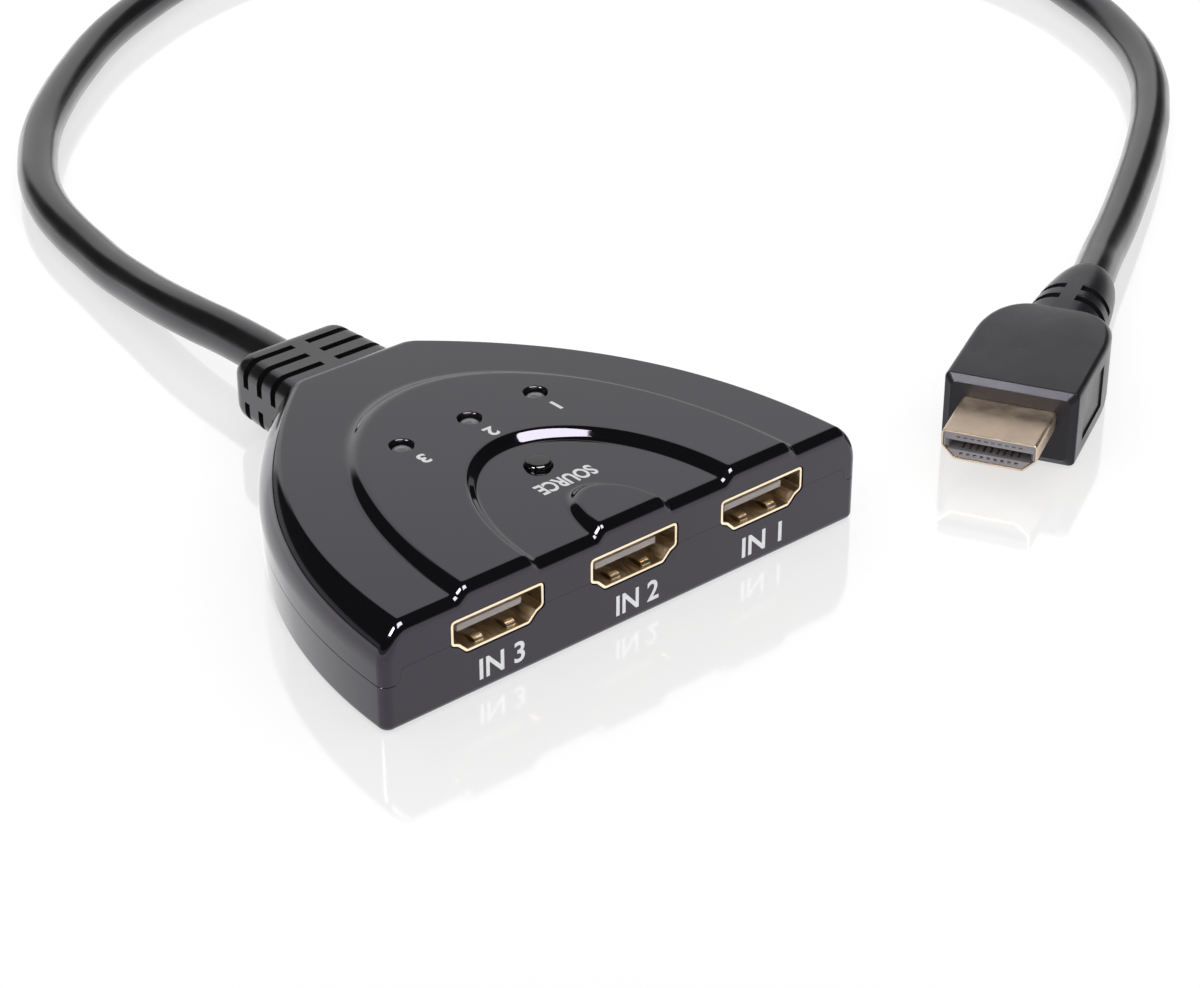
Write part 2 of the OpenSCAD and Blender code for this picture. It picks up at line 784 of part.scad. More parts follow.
// Four legs of the push switch, through the board
module tact_switch_terminals() color(steel)
    for (p = terminal_places)
        translate([p.x * tact_w / 2, key_y + p.y * terminal_y, 0]) {
            foot = board_bottom - lead_below;
            translate([p.x * terminal_t / 2 - terminal_t / 2, -terminal_w / 2, foot])
                cube([terminal_t, terminal_w, board_h + 1 - foot]);
        }

// How far the strain relief's sides, top and bottom are drawn in at place y along the cable
function boot_inset(y) = boot_draft * (y - rear_y) / boot_l;

// Section of the strain relief, drawn in by inset
function boot_section(inset) =
    round_box(boot_w - 2 * inset.x, boot_h - 2 * inset.y, boot_r, corner_steps);

// Flex slots of the row at place y: a ring cut into four by ribs
module boot_slots(y) translate([0, 0, y - slot_w / 2]) linear_extrude(slot_w) difference() {
    square([boot_w + 2, boot_h + 2], center = true);
    polygon(boot_section(boot_inset(y) + slot_depth * [1, 1]));
    square([slot_rib, boot_h + 3], center = true);
    square([boot_w + 3, slot_rib], center = true);
}

// Strain relief, keyed into the cable end by a neck and an inner flange
module cable_boot() color(black_rubber) translate([0, 0, boot_z]) rotate([-90, 0, 0]) {
    // Each section is a place along the cable and how far the end's rounding has gone there
    rounding = [for (t = [0:2 * edge_turn:90])
        [boot_end_round.x * (1 - sin(t)), boot_end_round.y * (1 - cos(t))]];
    sections = [[rear_y, 0], for (r = rounding) [boot_end - r.x, r.y]];
    difference() {
        union() {
            loft([for (s = sections)
                [for (p = boot_section(boot_inset(s.x) + s.y * [1, 1])) [p.x, p.y, s.x]]]);
            translate([0, 0, flange_front + eps]) linear_extrude(rear_y + 1 - flange_front)
                square(boot_neck, center = true);
            translate([0, 0, flange_front]) linear_extrude(flange_t) square(boot_flange, center = true);
        }
        for (i = [0:slot_rows - 1]) boot_slots(slot_first + i * slot_pitch);
        peg([0, 0], cable_d + 2 * bore_fit, flange_front - 1, boot_end + 1);
    }
}

// End of the cable inside the strain relief, with its jacket cut back
module cable_entry() color(black_rubber) translate([0, jacket_end, boot_z]) rotate([-90, 0, 0])
    cylinder(d = cable_d, h = boot_end - jacket_end);

// Round rod between two points
module rod(p, q, d) {
    v = q - p;
    translate(p) rotate([0, acos(v.z / norm(v)), atan2(v.y, v.x)]) cylinder(d = d, h = norm(v));
}

// Wires from the cable's end to the board's pads
module cable_wires() color("#b4762f")
    for (i = [0:wire_count - 1]) {
        a = 180 * (i + 0.5) / wire_count;
        pad_x = (i - (wire_count - 1) / 2) * pad_pitch;
        rod(
            [-wire_ring * cos(a), jacket_end, boot_z + wire_ring * sin(a)],
            [pad_x, board_rear_y - pad_setback, board_h + wire_lift],
            wire_d
        );
    }

// Direction of the cable's route at point i
function route_way(i) =
    let (v = cable_route[min(i + 1, len(cable_route) - 1)] - cable_route[max(i - 1, 0)]) v / norm(v);

// Ring of the cable's surface at point i
function cable_ring(i) =
    let (
        last = len(cable_route) - 1,
        way = i == 0 ? [0, 1, 0] : i == last ? -plug_way : route_way(i),
        across = cross(way, [0, 0, 1]),
        side = across / norm(across),
        up = cross(side, way)
    )
    [for (k = [0:cable_sides - 1])
        let (t = 360 * (k + 0.5) / cable_sides)
            cable_route[i] + cable_d / 2 * (cos(t) * side + sin(t) * up)];

// Free cable from the strain relief to the plug
module cable() color(black_rubber) loft([for (i = [len(cable_route) - 1:-1:0]) cable_ring(i)]);

// Places its children on the plug: nose towards -Y, origin at the middle of the grip's face
module in_plug() translate(plug_place) rotate([0, 0, plug_turn]) children();

// Section of the plug's moulding at length y from its face
function plug_ring(y, w, h, r) = [for (p = round_box(w, h, r, corner_steps)) [p.x, p.y, y]];

// Oval section of the plug's neck at length y, drawn in by inset
function neck_ring(y, w, h, inset) =
    plug_ring(y, w - 2 * inset, h - 2 * inset, min(w, h) / 2 - inset - eps);

// Width and height of the neck after a turn t along its rounded taper
function neck_size(t) =
    let (q = (1 - cos(t)) / (1 - cos(neck_turn))) neck_root * (1 - q) + neck_d * [1, 1] * q;

// Mouth of the plug: wide above, narrowed below
module tip_profile(grow) {
    half = [[tip_flat / 2, 0], [tip_w / 2, tip_side], [tip_w / 2, tip_h]];
    translate([0, tip_lift - tip_h / 2]) offset(delta = grow) polygon(both_sides(half));
}

// Flex slots of one row in the neck: an oval ring cut into four by ribs
module neck_slots() difference() {
    square(plug_w, center = true);
    polygon([for (p = neck_ring(0, neck_root.x, neck_root.y, neck_slot_deep)) [p.x, p.y]]);
    square([slot_rib, 2 * plug_w], center = true);
    square([2 * plug_w, slot_rib], center = true);
}

// Moulded grip of the plug, with rounded shoulders and a slotted neck
module plug_overmould() color(black_rubber) in_plug() {
    shoulder_l = shoulder_end - grip_l;
    drop = [plug_w, plug_h] - neck_root;
    neck_l = (plug_l - shoulder_end) / sin(neck_turn);
    difference() {
        rotate([-90, 0, 0]) union() {
            loft(concat(
                [plug_ring(0, plug_w - 2 * grip_bevel.y, plug_h - 2 * grip_bevel.y, grip_corner)],
                [plug_ring(grip_bevel.x, plug_w, plug_h, grip_corner)],
                [for (t = [0:edge_turn:90]) let (q = 1 - cos(t)) plug_ring(
                    grip_l + shoulder_l * sin(t), plug_w - drop.x * q, plug_h - drop.y * q,
                    grip_corner + (shoulder_corner - grip_corner) * q
                )]
            ));
            difference() {
                loft(concat(
                    [neck_ring(shoulder_end - neck_sunk, neck_root.x, neck_root.y, 0)],
                    [for (t = [0:neck_turn / corner_steps:neck_turn]) let (size = neck_size(t))
                        neck_ring(shoulder_end + neck_l * sin(t), size.x, size.y, 0)]
                ));
                for (row = [0:neck_slot_rows - 1])
                    translate([0, 0, shoulder_end + neck_slot_first + row * neck_slot_pitch - slot_w / 2])
                        linear_extrude(slot_w) neck_slots();
            }
        }
        for (side = [-1, 1]) translate([side * plug_w / 2, grip_hollow_in + grip_hollow.x / 2, 0])
            cube([2 * grip_hollow.z, grip_hollow.x, grip_hollow.y], center = true);
        along_y(-1, tip_root + 1) tip_profile(tip_fit);
    }
}

// Plated shell of the plug
module plug_shell() color(gold) in_plug() difference() {
    along_y(-tip_l, tip_l + tip_root) tip_profile(0);
    along_y(-tip_l - 1, tip_l + tip_root + 2) tip_profile(-tip_t);
    for (side = [-1, 1])
        translate([side * latch_x, -latch_y, tip_lift - tip_h / 2])
            cube([latch.x, latch.y, 2 * tip_t + eps], center = true);
}

// Strip contacts of the plug, one row on each face of its slot
module plug_contact_rows(gap) {
    levels = [tip_lift + tip_slot.y / 2, tip_lift - tip_slot.y / 2 - contact_t];
    for (row = [0, 1])
        for (i = [0:contact_rows[row] - 1])
            translate([(i - (contact_rows[row] - 1) / 2) * contact_pitch, 0, 0])
                block(
                    [-contact_w / 2, tip_contact_in - tip_l, levels[row]] - gap * [1, 1, 1],
                    [contact_w / 2, tip_contact_in - tip_l + tip_contact_l, levels[row] + contact_t]
                        + gap * [1, 1, 1]
                );
}

// Insulator of the plug, slotted for a socket's tongue
module plug_insulator() color(grey_resin) in_plug() difference() {
    along_y(-tip_l + 0.2, tip_l + tip_root - 0.2) tip_profile(-tip_t - tip_fit);
    block(
        [-tip_slot.x / 2, -tip_l - 1, tip_lift - tip_slot.y / 2],
        [tip_slot.x / 2, tip_slot_l - tip_l, tip_lift + tip_slot.y / 2]
    );
    plug_contact_rows(eps);
}

// Plated contacts of the plug
module plug_contacts() color(gold) in_plug() plug_contact_rows(0);

top_cover();
bottom_cover();
case_screws();
circuit_board();
socket_shell(1);  // input_1_shell
socket_shell(2);  // input_2_shell
socket_shell(3);  // input_3_shell
socket_insulator(1);  // input_1_insulator
socket_insulator(2);  // input_2_insulator
socket_insulator(3);  // input_3_insulator
socket_contacts(1);  // input_1_contacts
socket_contacts(2);  // input_2_contacts
socket_contacts(3);  // input_3_contacts
switch_chip();
switch_chip_leads();
voltage_regulator();
chip_capacitors();
chip_resistors();
led_lens(1);  // led_1
led_lens(2);  // led_2
led_lens(3);  // led_3
led_leads();
select_button();
tact_switch_plunger();
tact_switch_body();
tact_switch_cover();
tact_switch_dome();
tact_switch_terminals();
cable_boot();
cable_entry();
cable_wires();
cable();
plug_overmould();
plug_shell();
plug_insulator();
plug_contacts();
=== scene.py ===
"""Dressed scene of a three-input video switch box with a captive output lead.

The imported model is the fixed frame. Shapes are worked in millimetres, in the
frame's own axes, and become pieces in metres when they are dressed.
"""

import logging
import math
from dataclasses import dataclass
from enum import Enum
from typing import Callable, Sequence

import bmesh
import bpy
from mathutils import Matrix, Vector


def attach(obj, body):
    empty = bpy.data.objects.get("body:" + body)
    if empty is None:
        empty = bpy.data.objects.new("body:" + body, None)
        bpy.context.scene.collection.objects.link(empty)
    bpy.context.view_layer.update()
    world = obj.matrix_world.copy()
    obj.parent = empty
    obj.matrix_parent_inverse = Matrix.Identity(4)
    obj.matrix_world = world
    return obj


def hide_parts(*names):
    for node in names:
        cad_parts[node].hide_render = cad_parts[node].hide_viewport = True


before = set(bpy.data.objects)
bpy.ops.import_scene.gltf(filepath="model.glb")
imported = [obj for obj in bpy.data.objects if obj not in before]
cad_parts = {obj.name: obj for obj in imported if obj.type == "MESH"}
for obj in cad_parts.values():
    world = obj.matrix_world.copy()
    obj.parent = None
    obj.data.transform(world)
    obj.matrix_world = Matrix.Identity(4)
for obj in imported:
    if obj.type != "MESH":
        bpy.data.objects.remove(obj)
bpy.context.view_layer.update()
NODES: dict[str, bpy.types.Object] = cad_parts
LOG = logging.getLogger("switch_box")
MM = 0.001
MERGE = 1e-4
CORNER_SHARE = 0.45
SHARP_EDGE = 50.0
CABLE_LEVEL = 7.3
# Cutting solids reach this far past what they cut.
OVERCUT = 1.0

Colour = tuple[float, float, float]
Triple = tuple[float, float, float]
Pair = tuple[float, float]
Ring = list[Vector]
Outline = list[Pair]
Join = tuple[bpy.types.NodeSocket, bpy.types.NodeSocket]


class Body(Enum):
    """Bodies of the frame that pieces ride on."""

    HOUSING = "housing"
    KEY = "select_key"


class Slot(Enum):
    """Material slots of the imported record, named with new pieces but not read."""

    HOUSING = "housing_plastic"
    KEY = "key_plastic"
    STEEL = "steel"
    GOLD = "gold_plating"
    RESIN = "grey_resin"
    LENS = "clear_lens"
    MOULDING = "soft_moulding"
    JACKET = "cable_jacket"


class Carve(Enum):
    """How one solid works on another."""

    CUT = "DIFFERENCE"
    JOIN = "UNION"


def wire(tree: bpy.types.NodeTree, joins: Sequence[Join]) -> None:
    """Joins pairs of sockets, each an output and the input that it feeds."""
    for source, target in joins:
        tree.links.new(source, target)


class Effects:
    """Shader node groups that several finishes share, each built once."""

    GRAIN_ROUGHNESS = 0.55
    PATCH_DETAIL = 5.0
    PATCH_ROUGHNESS = 0.6
    PATCH_SPREAD = (0.32, 0.68)
    _made: dict[str, bpy.types.NodeTree] = {}

    @classmethod
    def _group(cls, name: str, inputs: dict[str, float], output: str) -> tuple[bpy.types.NodeTree, bool]:
        """Finds or starts a group.

        Args:
            name: Name of the group.
            inputs: Its number inputs and their usual values.
            output: Name of its one number output.

        Returns:
            The group, and whether it still has to be wired.
        """
        if name in cls._made:
            return cls._made[name], False
        tree = bpy.data.node_groups.new(name, "ShaderNodeTree")
        for label, value in inputs.items():
            socket = tree.interface.new_socket(label, in_out="INPUT", socket_type="NodeSocketFloat")
            socket.default_value = value
        tree.interface.new_socket(output, in_out="OUTPUT", socket_type="NodeSocketFloat")
        cls._made[name] = tree
        return tree, True

    @staticmethod
    def _ends(tree: bpy.types.NodeTree) -> tuple[bpy.types.Node, bpy.types.Node, bpy.types.Node]:
        """Adds the group's input, output and the piece's own coordinates."""
        return (
            tree.nodes.new("NodeGroupInput"),
            tree.nodes.new("NodeGroupOutput"),
            tree.nodes.new("ShaderNodeTexCoord"),
        )

    @classmethod
    def grain(cls) -> bpy.types.NodeTree:
        """Fine moulded grain, from 0 to 1."""
        tree, fresh = cls._group("moulded_grain", {"Scale": 4000.0, "Detail": 2.0}, "Height")
        if fresh:
            into, out, place = cls._ends(tree)
            noise = tree.nodes.new("ShaderNodeTexNoise")
            noise.inputs["Roughness"].default_value = cls.GRAIN_ROUGHNESS
            wire(tree, (
                (place.outputs["Object"], noise.inputs["Vector"]),
                (into.outputs["Scale"], noise.inputs["Scale"]),
                (into.outputs["Detail"], noise.inputs["Detail"]),
                (noise.outputs["Fac"], out.inputs["Height"]),
            ))
        return tree

    @classmethod
    def handling(cls) -> bpy.types.NodeTree:
        """Soft uneven patches between a low and a high value."""
        tree, fresh = cls._group("handling_patches", {"Scale": 60.0, "Low": 0.1, "High": 0.2}, "Value")
        if fresh:
            into, out, place = cls._ends(tree)
            noise = tree.nodes.new("ShaderNodeTexNoise")
            noise.inputs["Detail"].default_value = cls.PATCH_DETAIL
            noise.inputs["Roughness"].default_value = cls.PATCH_ROUGHNESS
            spread = tree.nodes.new("ShaderNodeMapRange")
            spread.inputs["From Min"].default_value = cls.PATCH_SPREAD[0]
            spread.inputs["From Max"].default_value = cls.PATCH_SPREAD[1]
            wire(tree, (
                (place.outputs["Object"], noise.inputs["Vector"]),
                (into.outputs["Scale"], noise.inputs["Scale"]),
                (noise.outputs["Fac"], spread.inputs["Value"]),
                (into.outputs["Low"], spread.inputs["To Min"]),
                (into.outputs["High"], spread.inputs["To Max"]),
                (spread.outputs["Result"], out.inputs["Value"]),
            ))
        return tree

    @classmethod
    def specks(cls) -> bpy.types.NodeTree:
        """Sparse dust specks, 1 on a speck and 0 beside it."""
        tree, fresh = cls._group("dust_specks", {"Scale": 500.0, "Size": 0.08, "Share": 0.1}, "Mask")
        if fresh:
            into, out, place = cls._ends(tree)
            cells = tree.nodes.new("ShaderNodeTexVoronoi")
            chosen = tree.nodes.new("ShaderNodeSeparateColor")
            some, near, both = (tree.nodes.new("ShaderNodeMath") for _ in range(3))
            some.operation = near.operation = "LESS_THAN"
            both.operation = "MULTIPLY"
            wire(tree, (
                (place.outputs["Object"], cells.inputs["Vector"]),
                (into.outputs["Scale"], cells.inputs["Scale"]),
                (cells.outputs["Color"], chosen.inputs["Color"]),
                (chosen.outputs["Red"], some.inputs[0]),
                (into.outputs["Share"], some.inputs[1]),
                (cells.outputs["Distance"], near.inputs[0]),
                (into.outputs["Size"], near.inputs[1]),
                (some.outputs[0], both.inputs[0]),
                (near.outputs[0], both.inputs[1]),
                (both.outputs[0], out.inputs["Mask"]),
            ))
        return tree


class Recipe:
    """A material under construction, with its surface shader in place."""

    def __init__(self, name: str) -> None:
        """Starts an empty material with one Principled surface."""
        self.material = bpy.data.materials.new(name)
        self.material.use_nodes = True
        self.tree = self.material.node_tree
        self.tree.nodes.clear()
        self.surface = self.node("ShaderNodeBsdfPrincipled")
        self.output = self.node("ShaderNodeOutputMaterial")
        self.link(self.surface.outputs["BSDF"], self.output.inputs["Surface"])

    def node(self, kind: str) -> bpy.types.Node:
        """Adds a node of the given kind."""
        return self.tree.nodes.new(kind)

    def link(self, source: bpy.types.NodeSocket, target: bpy.types.NodeSocket) -> None:
        """Joins two sockets."""
        self.tree.links.new(source, target)

    def put(self, **values: float | tuple[float, ...]) -> None:
        """Sets plain values on the surface shader, with _ for a space in a socket's name."""
        for label, value in values.items():
            self.surface.inputs[label.replace("_", " ")].default_value = value

    def effect(self, tree: bpy.types.NodeTree, **values: float) -> bpy.types.NodeSocket:
        """Places a shared effect.

        Args:
            tree: The effect's node group.
            values: Its inputs.

        Returns:
            The effect's output.
        """
        group = self.node("ShaderNodeGroup")
        group.node_tree = tree
        for label, value in values.items():
            group.inputs[label].default_value = value
        return group.outputs[0]

    def patches(self, scale: float, low: float = 0.0, high: float = 1.0) -> bpy.types.NodeSocket:
        """Places uneven patches of a scale, between a low and a high value."""
        return self.effect(Effects.handling(), Scale=scale, Low=low, High=high)

    def blend(
        self, share: bpy.types.NodeSocket, low: Colour | bpy.types.NodeSocket, high: Colour
    ) -> bpy.types.NodeSocket:
        """Mixes two colours.

        Args:
            share: Share of the second colour, from 0 to 1.
            low: The first colour, plain or from a socket.
            high: The second colour.

        Returns:
            The mixed colour.
        """
        mix = self.node("ShaderNodeMix")
        mix.data_type = "RGBA"
        mix.inputs["B"].default_value = (*high, 1.0)
        if isinstance(low, bpy.types.NodeSocket):
            self.link(low, mix.inputs["A"])
        else:
            mix.inputs["A"].default_value = (*low, 1.0)
        self.link(share, mix.inputs["Factor"])
        return mix.outputs["Result"]

    def tint(self, colour: bpy.types.NodeSocket) -> None:
        """Gives the surface its colour."""
        self.link(colour, self.surface.inputs["Base Color"])

    def gloss(self, scale: float, span: Pair) -> None:
        """Gives the surface a roughness that wanders between two values in patches of a scale."""
        self.link(self.patches(scale, *span), self.surface.inputs["Roughness"])

    def relief(self, height: bpy.types.NodeSocket, depth: float, strength: float) -> None:
        """Raises the surface by a height.

        Args:
            height: The height, from 0 to 1.
            depth: Its depth in millimetres.
            strength: Share of the depth that shows.
        """
        bump = self.node("ShaderNodeBump")
        bump.inputs["Strength"].default_value = strength
        bump.inputs["Distance"].default_value = depth * MM
        self.link(height, bump.inputs["Height"])
        self.link(bump.outputs["Normal"], self.surface.inputs["Normal"])


class Finish:
    """Something that can be laid on a piece, made once."""

    _made: dict[str, bpy.types.Material] = {}
    name: str

    def compose(self, recipe: Recipe) -> None:
        """Wires the finish's own nodes."""
        raise NotImplementedError

    def material(self) -> bpy.types.Material:
        """Returns the finish's material and makes it at the first call."""
        if self.name not in Finish._made:
            recipe = Recipe(self.name)
            self.compose(recipe)
            Finish._made[self.name] = recipe.material
        return Finish._made[self.name]


@dataclass(frozen=True)
class MouldedPlastic(Finish):
    """Moulded plastic or soft moulding, from polished to satin."""

    name: str
    dark: Colour
    light: Colour
    gloss: Pair
    patch: float = 60.0
    tone_share: float = 0.6
    grain_scale: float = 3000.0
    grain_detail: float = 2.0
    grain_depth: float = 0.002
    grain_strength: float = 0.1
    dust_share: float = 0.02
    dust_scale: float = 420.0
    dust_size: float = 0.045
    dust: Colour = (0.16, 0.16, 0.17)
    sheen: Colour = (1.0, 1.0, 1.0)
    index: float = 1.5

    def compose(self, recipe: Recipe) -> None:
        """Wires tone, dust, gloss patches and moulded grain."""
        recipe.put(IOR=self.index, Specular_Tint=(*self.sheen, 1.0))
        tone = recipe.blend(recipe.patches(self.patch * self.tone_share), self.dark, self.light)
        specks = recipe.effect(
            Effects.specks(), Scale=self.dust_scale, Size=self.dust_size, Share=self.dust_share,
        )
        recipe.tint(recipe.blend(specks, tone, self.dust))
        recipe.gloss(self.patch, self.gloss)
        grain = recipe.effect(Effects.grain(), Scale=self.grain_scale, Detail=self.grain_detail)
        recipe.relief(grain, self.grain_depth, self.grain_strength)


@dataclass(frozen=True)
class PlatedMetal(Finish):
    """Plated sheet or pin, with faint drawing marks and duller patches."""

    name: str
    bright: Colour
    dull: Colour
    gloss: Pair
    patch: float = 300.0
    gloss_share: float = 1.7
    mark_scale: float = 6000.0
    mark_detail: float = 1.0
    mark_depth: float = 0.004
    mark_strength: float = 0.12

    def compose(self, recipe: Recipe) -> None:
        """Wires plating tone, gloss patches and fine marks."""
        recipe.put(Metallic=1.0)
        recipe.tint(recipe.blend(recipe.patches(self.patch), self.bright, self.dull))
        recipe.gloss(self.patch * self.gloss_share, self.gloss)
        marks = recipe.effect(Effects.grain(), Scale=self.mark_scale, Detail=self.mark_detail)
        recipe.relief(marks, self.mark_depth, self.mark_strength)


@dataclass(frozen=True)
class ClearResin(Finish):
    """Clear cast resin of the lights."""

    name: str = "clear_resin"
    tint: Colour = (0.95, 0.97, 0.98)
    clearness: float = 0.86
    index: float = 1.5
    patch: float = 900.0
    gloss: Pair = (0.02, 0.07)

    def compose(self, recipe: Recipe) -> None:
        """Wires the resin's uneven gloss."""
        recipe.put(Base_Color=(*self.tint, 1.0), Transmission_Weight=self.clearness, IOR=self.index)
        recipe.gloss(self.patch, self.gloss)


@dataclass(frozen=True)
class PrintInk(Finish):
    """White printed ink, a little thin in places."""

    name: str = "printed_ink"
    full: Colour = (0.95, 0.95, 0.96)
    thin: Colour = (0.84, 0.85, 0.87)
    patch: float = 1500.0
    gloss_patch: float = 1200.0
    gloss: Pair = (0.35, 0.5)
    tooth_scale: float = 9000.0
    tooth_detail: float = 1.0
    tooth_depth: float = 0.003
    tooth_strength: float = 0.2

    def compose(self, recipe: Recipe) -> None:
        """Wires the ink's uneven cover and tooth."""
        recipe.tint(recipe.blend(recipe.patches(self.patch), self.full, self.thin))
        recipe.gloss(self.gloss_patch, self.gloss)
        tooth = recipe.effect(Effects.grain(), Scale=self.tooth_scale, Detail=self.tooth_detail)
        recipe.relief(tooth, self.tooth_depth, self.tooth_strength)


@dataclass(frozen=True)
class BoardMask(Finish):
    """Solder mask over copper tracks."""

    name: str = "board_mask"
    mask: Colour = (0.012, 0.07, 0.03)
    track: Colour = (0.03, 0.13, 0.05)
    track_scale: float = 700.0
    track_edge: Pair = (0.28, 0.34)
    track_depth: float = 0.03
    track_strength: float = 0.4
    patch: float = 200.0
    gloss: Pair = (0.22, 0.36)

    def compose(self, recipe: Recipe) -> None:
        """Wires square-cornered tracks and a glossy mask."""
        place = recipe.node("ShaderNodeTexCoord")
        cells = recipe.node("ShaderNodeTexVoronoi")
        cells.distance = "CHEBYCHEV"
        cells.inputs["Scale"].default_value = self.track_scale
        edge = recipe.node("ShaderNodeMapRange")
        edge.inputs["From Min"].default_value = self.track_edge[0]
        edge.inputs["From Max"].default_value = self.track_edge[1]
        recipe.link(place.outputs["Object"], cells.inputs["Vector"])
        recipe.link(cells.outputs["Distance"], edge.inputs["Value"])
        track = edge.outputs["Result"]
        recipe.tint(recipe.blend(track, self.mask, self.track))
        recipe.gloss(self.patch, self.gloss)
        recipe.relief(track, self.track_depth, self.track_strength)


@dataclass(frozen=True)
class WireColours(Finish):
    """Insulation whose colour changes from wire to wire across the cable."""

    name: str = "wire_colours"
    span: Pair = (-0.0052, 0.0052)
    colours: tuple[Colour, ...] = (
        (0.42, 0.04, 0.03), (0.5, 0.2, 0.03), (0.5, 0.42, 0.05), (0.05, 0.28, 0.08),
        (0.04, 0.12, 0.4), (0.2, 0.06, 0.3), (0.4, 0.4, 0.4), (0.03, 0.03, 0.03),
    )
    patch: float = 500.0
    gloss: Pair = (0.35, 0.5)

    def compose(self, recipe: Recipe) -> None:
        """Wires one band of colour for each wire."""
        place = recipe.node("ShaderNodeTexCoord")
        split = recipe.node("ShaderNodeSeparateXYZ")
        across = recipe.node("ShaderNodeMapRange")
        across.inputs["From Min"].default_value = self.span[0]
        across.inputs["From Max"].default_value = self.span[1]
        bands = recipe.node("ShaderNodeValToRGB")
        bands.color_ramp.interpolation = "CONSTANT"
        stops = bands.color_ramp.elements
        for i, colour in enumerate(self.colours):
            stop = stops[i] if i < 2 else stops.new(i / len(self.colours))
            stop.position = i / len(self.colours)
            stop.color = (*colour, 1.0)
        wire(recipe.tree, (
            (place.outputs["Object"], split.inputs["Vector"]),
            (split.outputs["X"], across.inputs["Value"]),
            (across.outputs["Result"], bands.inputs["Fac"]),
        ))
        recipe.tint(bands.outputs["Color"])
        recipe.gloss(self.patch, self.gloss)


CASE_BLACK = MouldedPlastic(
    "polished_case_black", (0.0045, 0.0043, 0.005), (0.006, 0.0058, 0.0066), (0.045, 0.075),
    patch=45.0, grain_scale=900.0, grain_depth=0.0006, grain_strength=0.06, dust_share=0.012,
    sheen=(0.89, 0.83, 1.0), index=1.57,
)
KEY_BLACK = MouldedPlastic(
    "polished_key_black", (0.004, 0.004, 0.0045), (0.0055, 0.0055, 0.006), (0.05, 0.08),
    patch=260.0, grain_scale=1500.0, grain_depth=0.0006, grain_strength=0.06, dust_share=0.01,
)
SOFT_BLACK = MouldedPlastic(
    "satin_soft_black", (0.013, 0.0125, 0.0145), (0.018, 0.0172, 0.0195), (0.26, 0.36),
    patch=120.0, grain_scale=5200.0, grain_depth=0.02, grain_strength=0.28, dust_share=0.03,
    sheen=(0.9, 0.87, 1.0), index=1.34,
)
JACKET_BLACK = MouldedPlastic(
    "satin_jacket_black", (0.008, 0.008, 0.0086), (0.011, 0.011, 0.012), (0.18, 0.27),
    patch=90.0, grain_scale=3800.0, grain_depth=0.015, grain_strength=0.22, dust_share=0.03,
    sheen=(0.94, 0.94, 1.0), index=1.62,
)
GREY_RESIN = MouldedPlastic(
    "satin_grey_resin", (0.27, 0.255, 0.27), (0.33, 0.31, 0.33), (0.35, 0.5),
    patch=500.0, grain_scale=7000.0, grain_depth=0.01, grain_strength=0.2, dust_share=0.0,
)
CHIP_BLACK = MouldedPlastic(
    "moulded_chip_black", (0.012, 0.012, 0.013), (0.018, 0.018, 0.019), (0.5, 0.65),
    patch=400.0, grain_scale=9000.0, grain_depth=0.02, grain_strength=0.35, dust_share=0.05,
)
CERAMIC_TAN = MouldedPlastic(
    "fired_ceramic_tan", (0.36, 0.26, 0.16), (0.46, 0.35, 0.23), (0.4, 0.55),
    patch=1500.0, grain_scale=9000.0, grain_depth=0.01, grain_strength=0.3, dust_share=0.0,
)
GOLD_PLATE = PlatedMetal("bright_gold_plate", (0.96, 0.83, 0.62), (0.88, 0.72, 0.5), (0.13, 0.24))
SATIN_GOLD = PlatedMetal("satin_gold_plate", (0.6, 0.48, 0.37), (0.52, 0.41, 0.31), (0.28, 0.4))
TIN_PLATE = PlatedMetal("bright_tin_plate", (0.66, 0.66, 0.67), (0.52, 0.52, 0.54), (0.2, 0.34))
CLEAR_RESIN = ClearResin()
PRINT_INK = PrintInk()
BOARD_MASK = BoardMask()
WIRE_COLOURS = WireColours()


def surface_grid(
    bm: bmesh.types.BMesh, columns: int, rows: int, place: Callable[[int, int], Vector]
) -> list[bmesh.types.BMVert]:
    """Adds a grid of quads whose points are placed by a rule.

    Args:
        bm: The mesh that takes the grid.
        columns: Number of points across.
        rows: Number of points along.
        place: Gives the place of the point in a column and a row.

    Returns:
        The grid's points.
    """
    made = bmesh.ops.create_grid(bm, x_segments=columns - 1, y_segments=rows - 1, size=1.0)["verts"]
    for vert in made:
        column = round((vert.co.x + 1.0) / 2.0 * (columns - 1))
        row = round((vert.co.y + 1.0) / 2.0 * (rows - 1))
        vert.co = place(column, row)
    return made


def loft(bm: bmesh.types.BMesh, rings: Sequence[Ring], wrap: bool = False) -> None:
    """Skins a stack of closed rings with equal numbers of points.

    Args:
        bm: The mesh that takes the skin.
        rings: The rings, from one end to the other.
        wrap: Joins the last ring to the first in place of two caps.
    """
    rows = [*rings, rings[0]] if wrap else list(rings)
    count = len(rings[0])
    made = surface_grid(bm, count + 1, len(rows), lambda i, j: rows[j][i % count])
    bmesh.ops.remove_doubles(bm, verts=made, dist=MERGE)
    rim = [edge for edge in bm.edges if edge.is_boundary]
    if rim:
        bmesh.ops.holes_fill(bm, edges=rim, sides=0)
    bmesh.ops.recalc_face_normals(bm, faces=bm.faces)


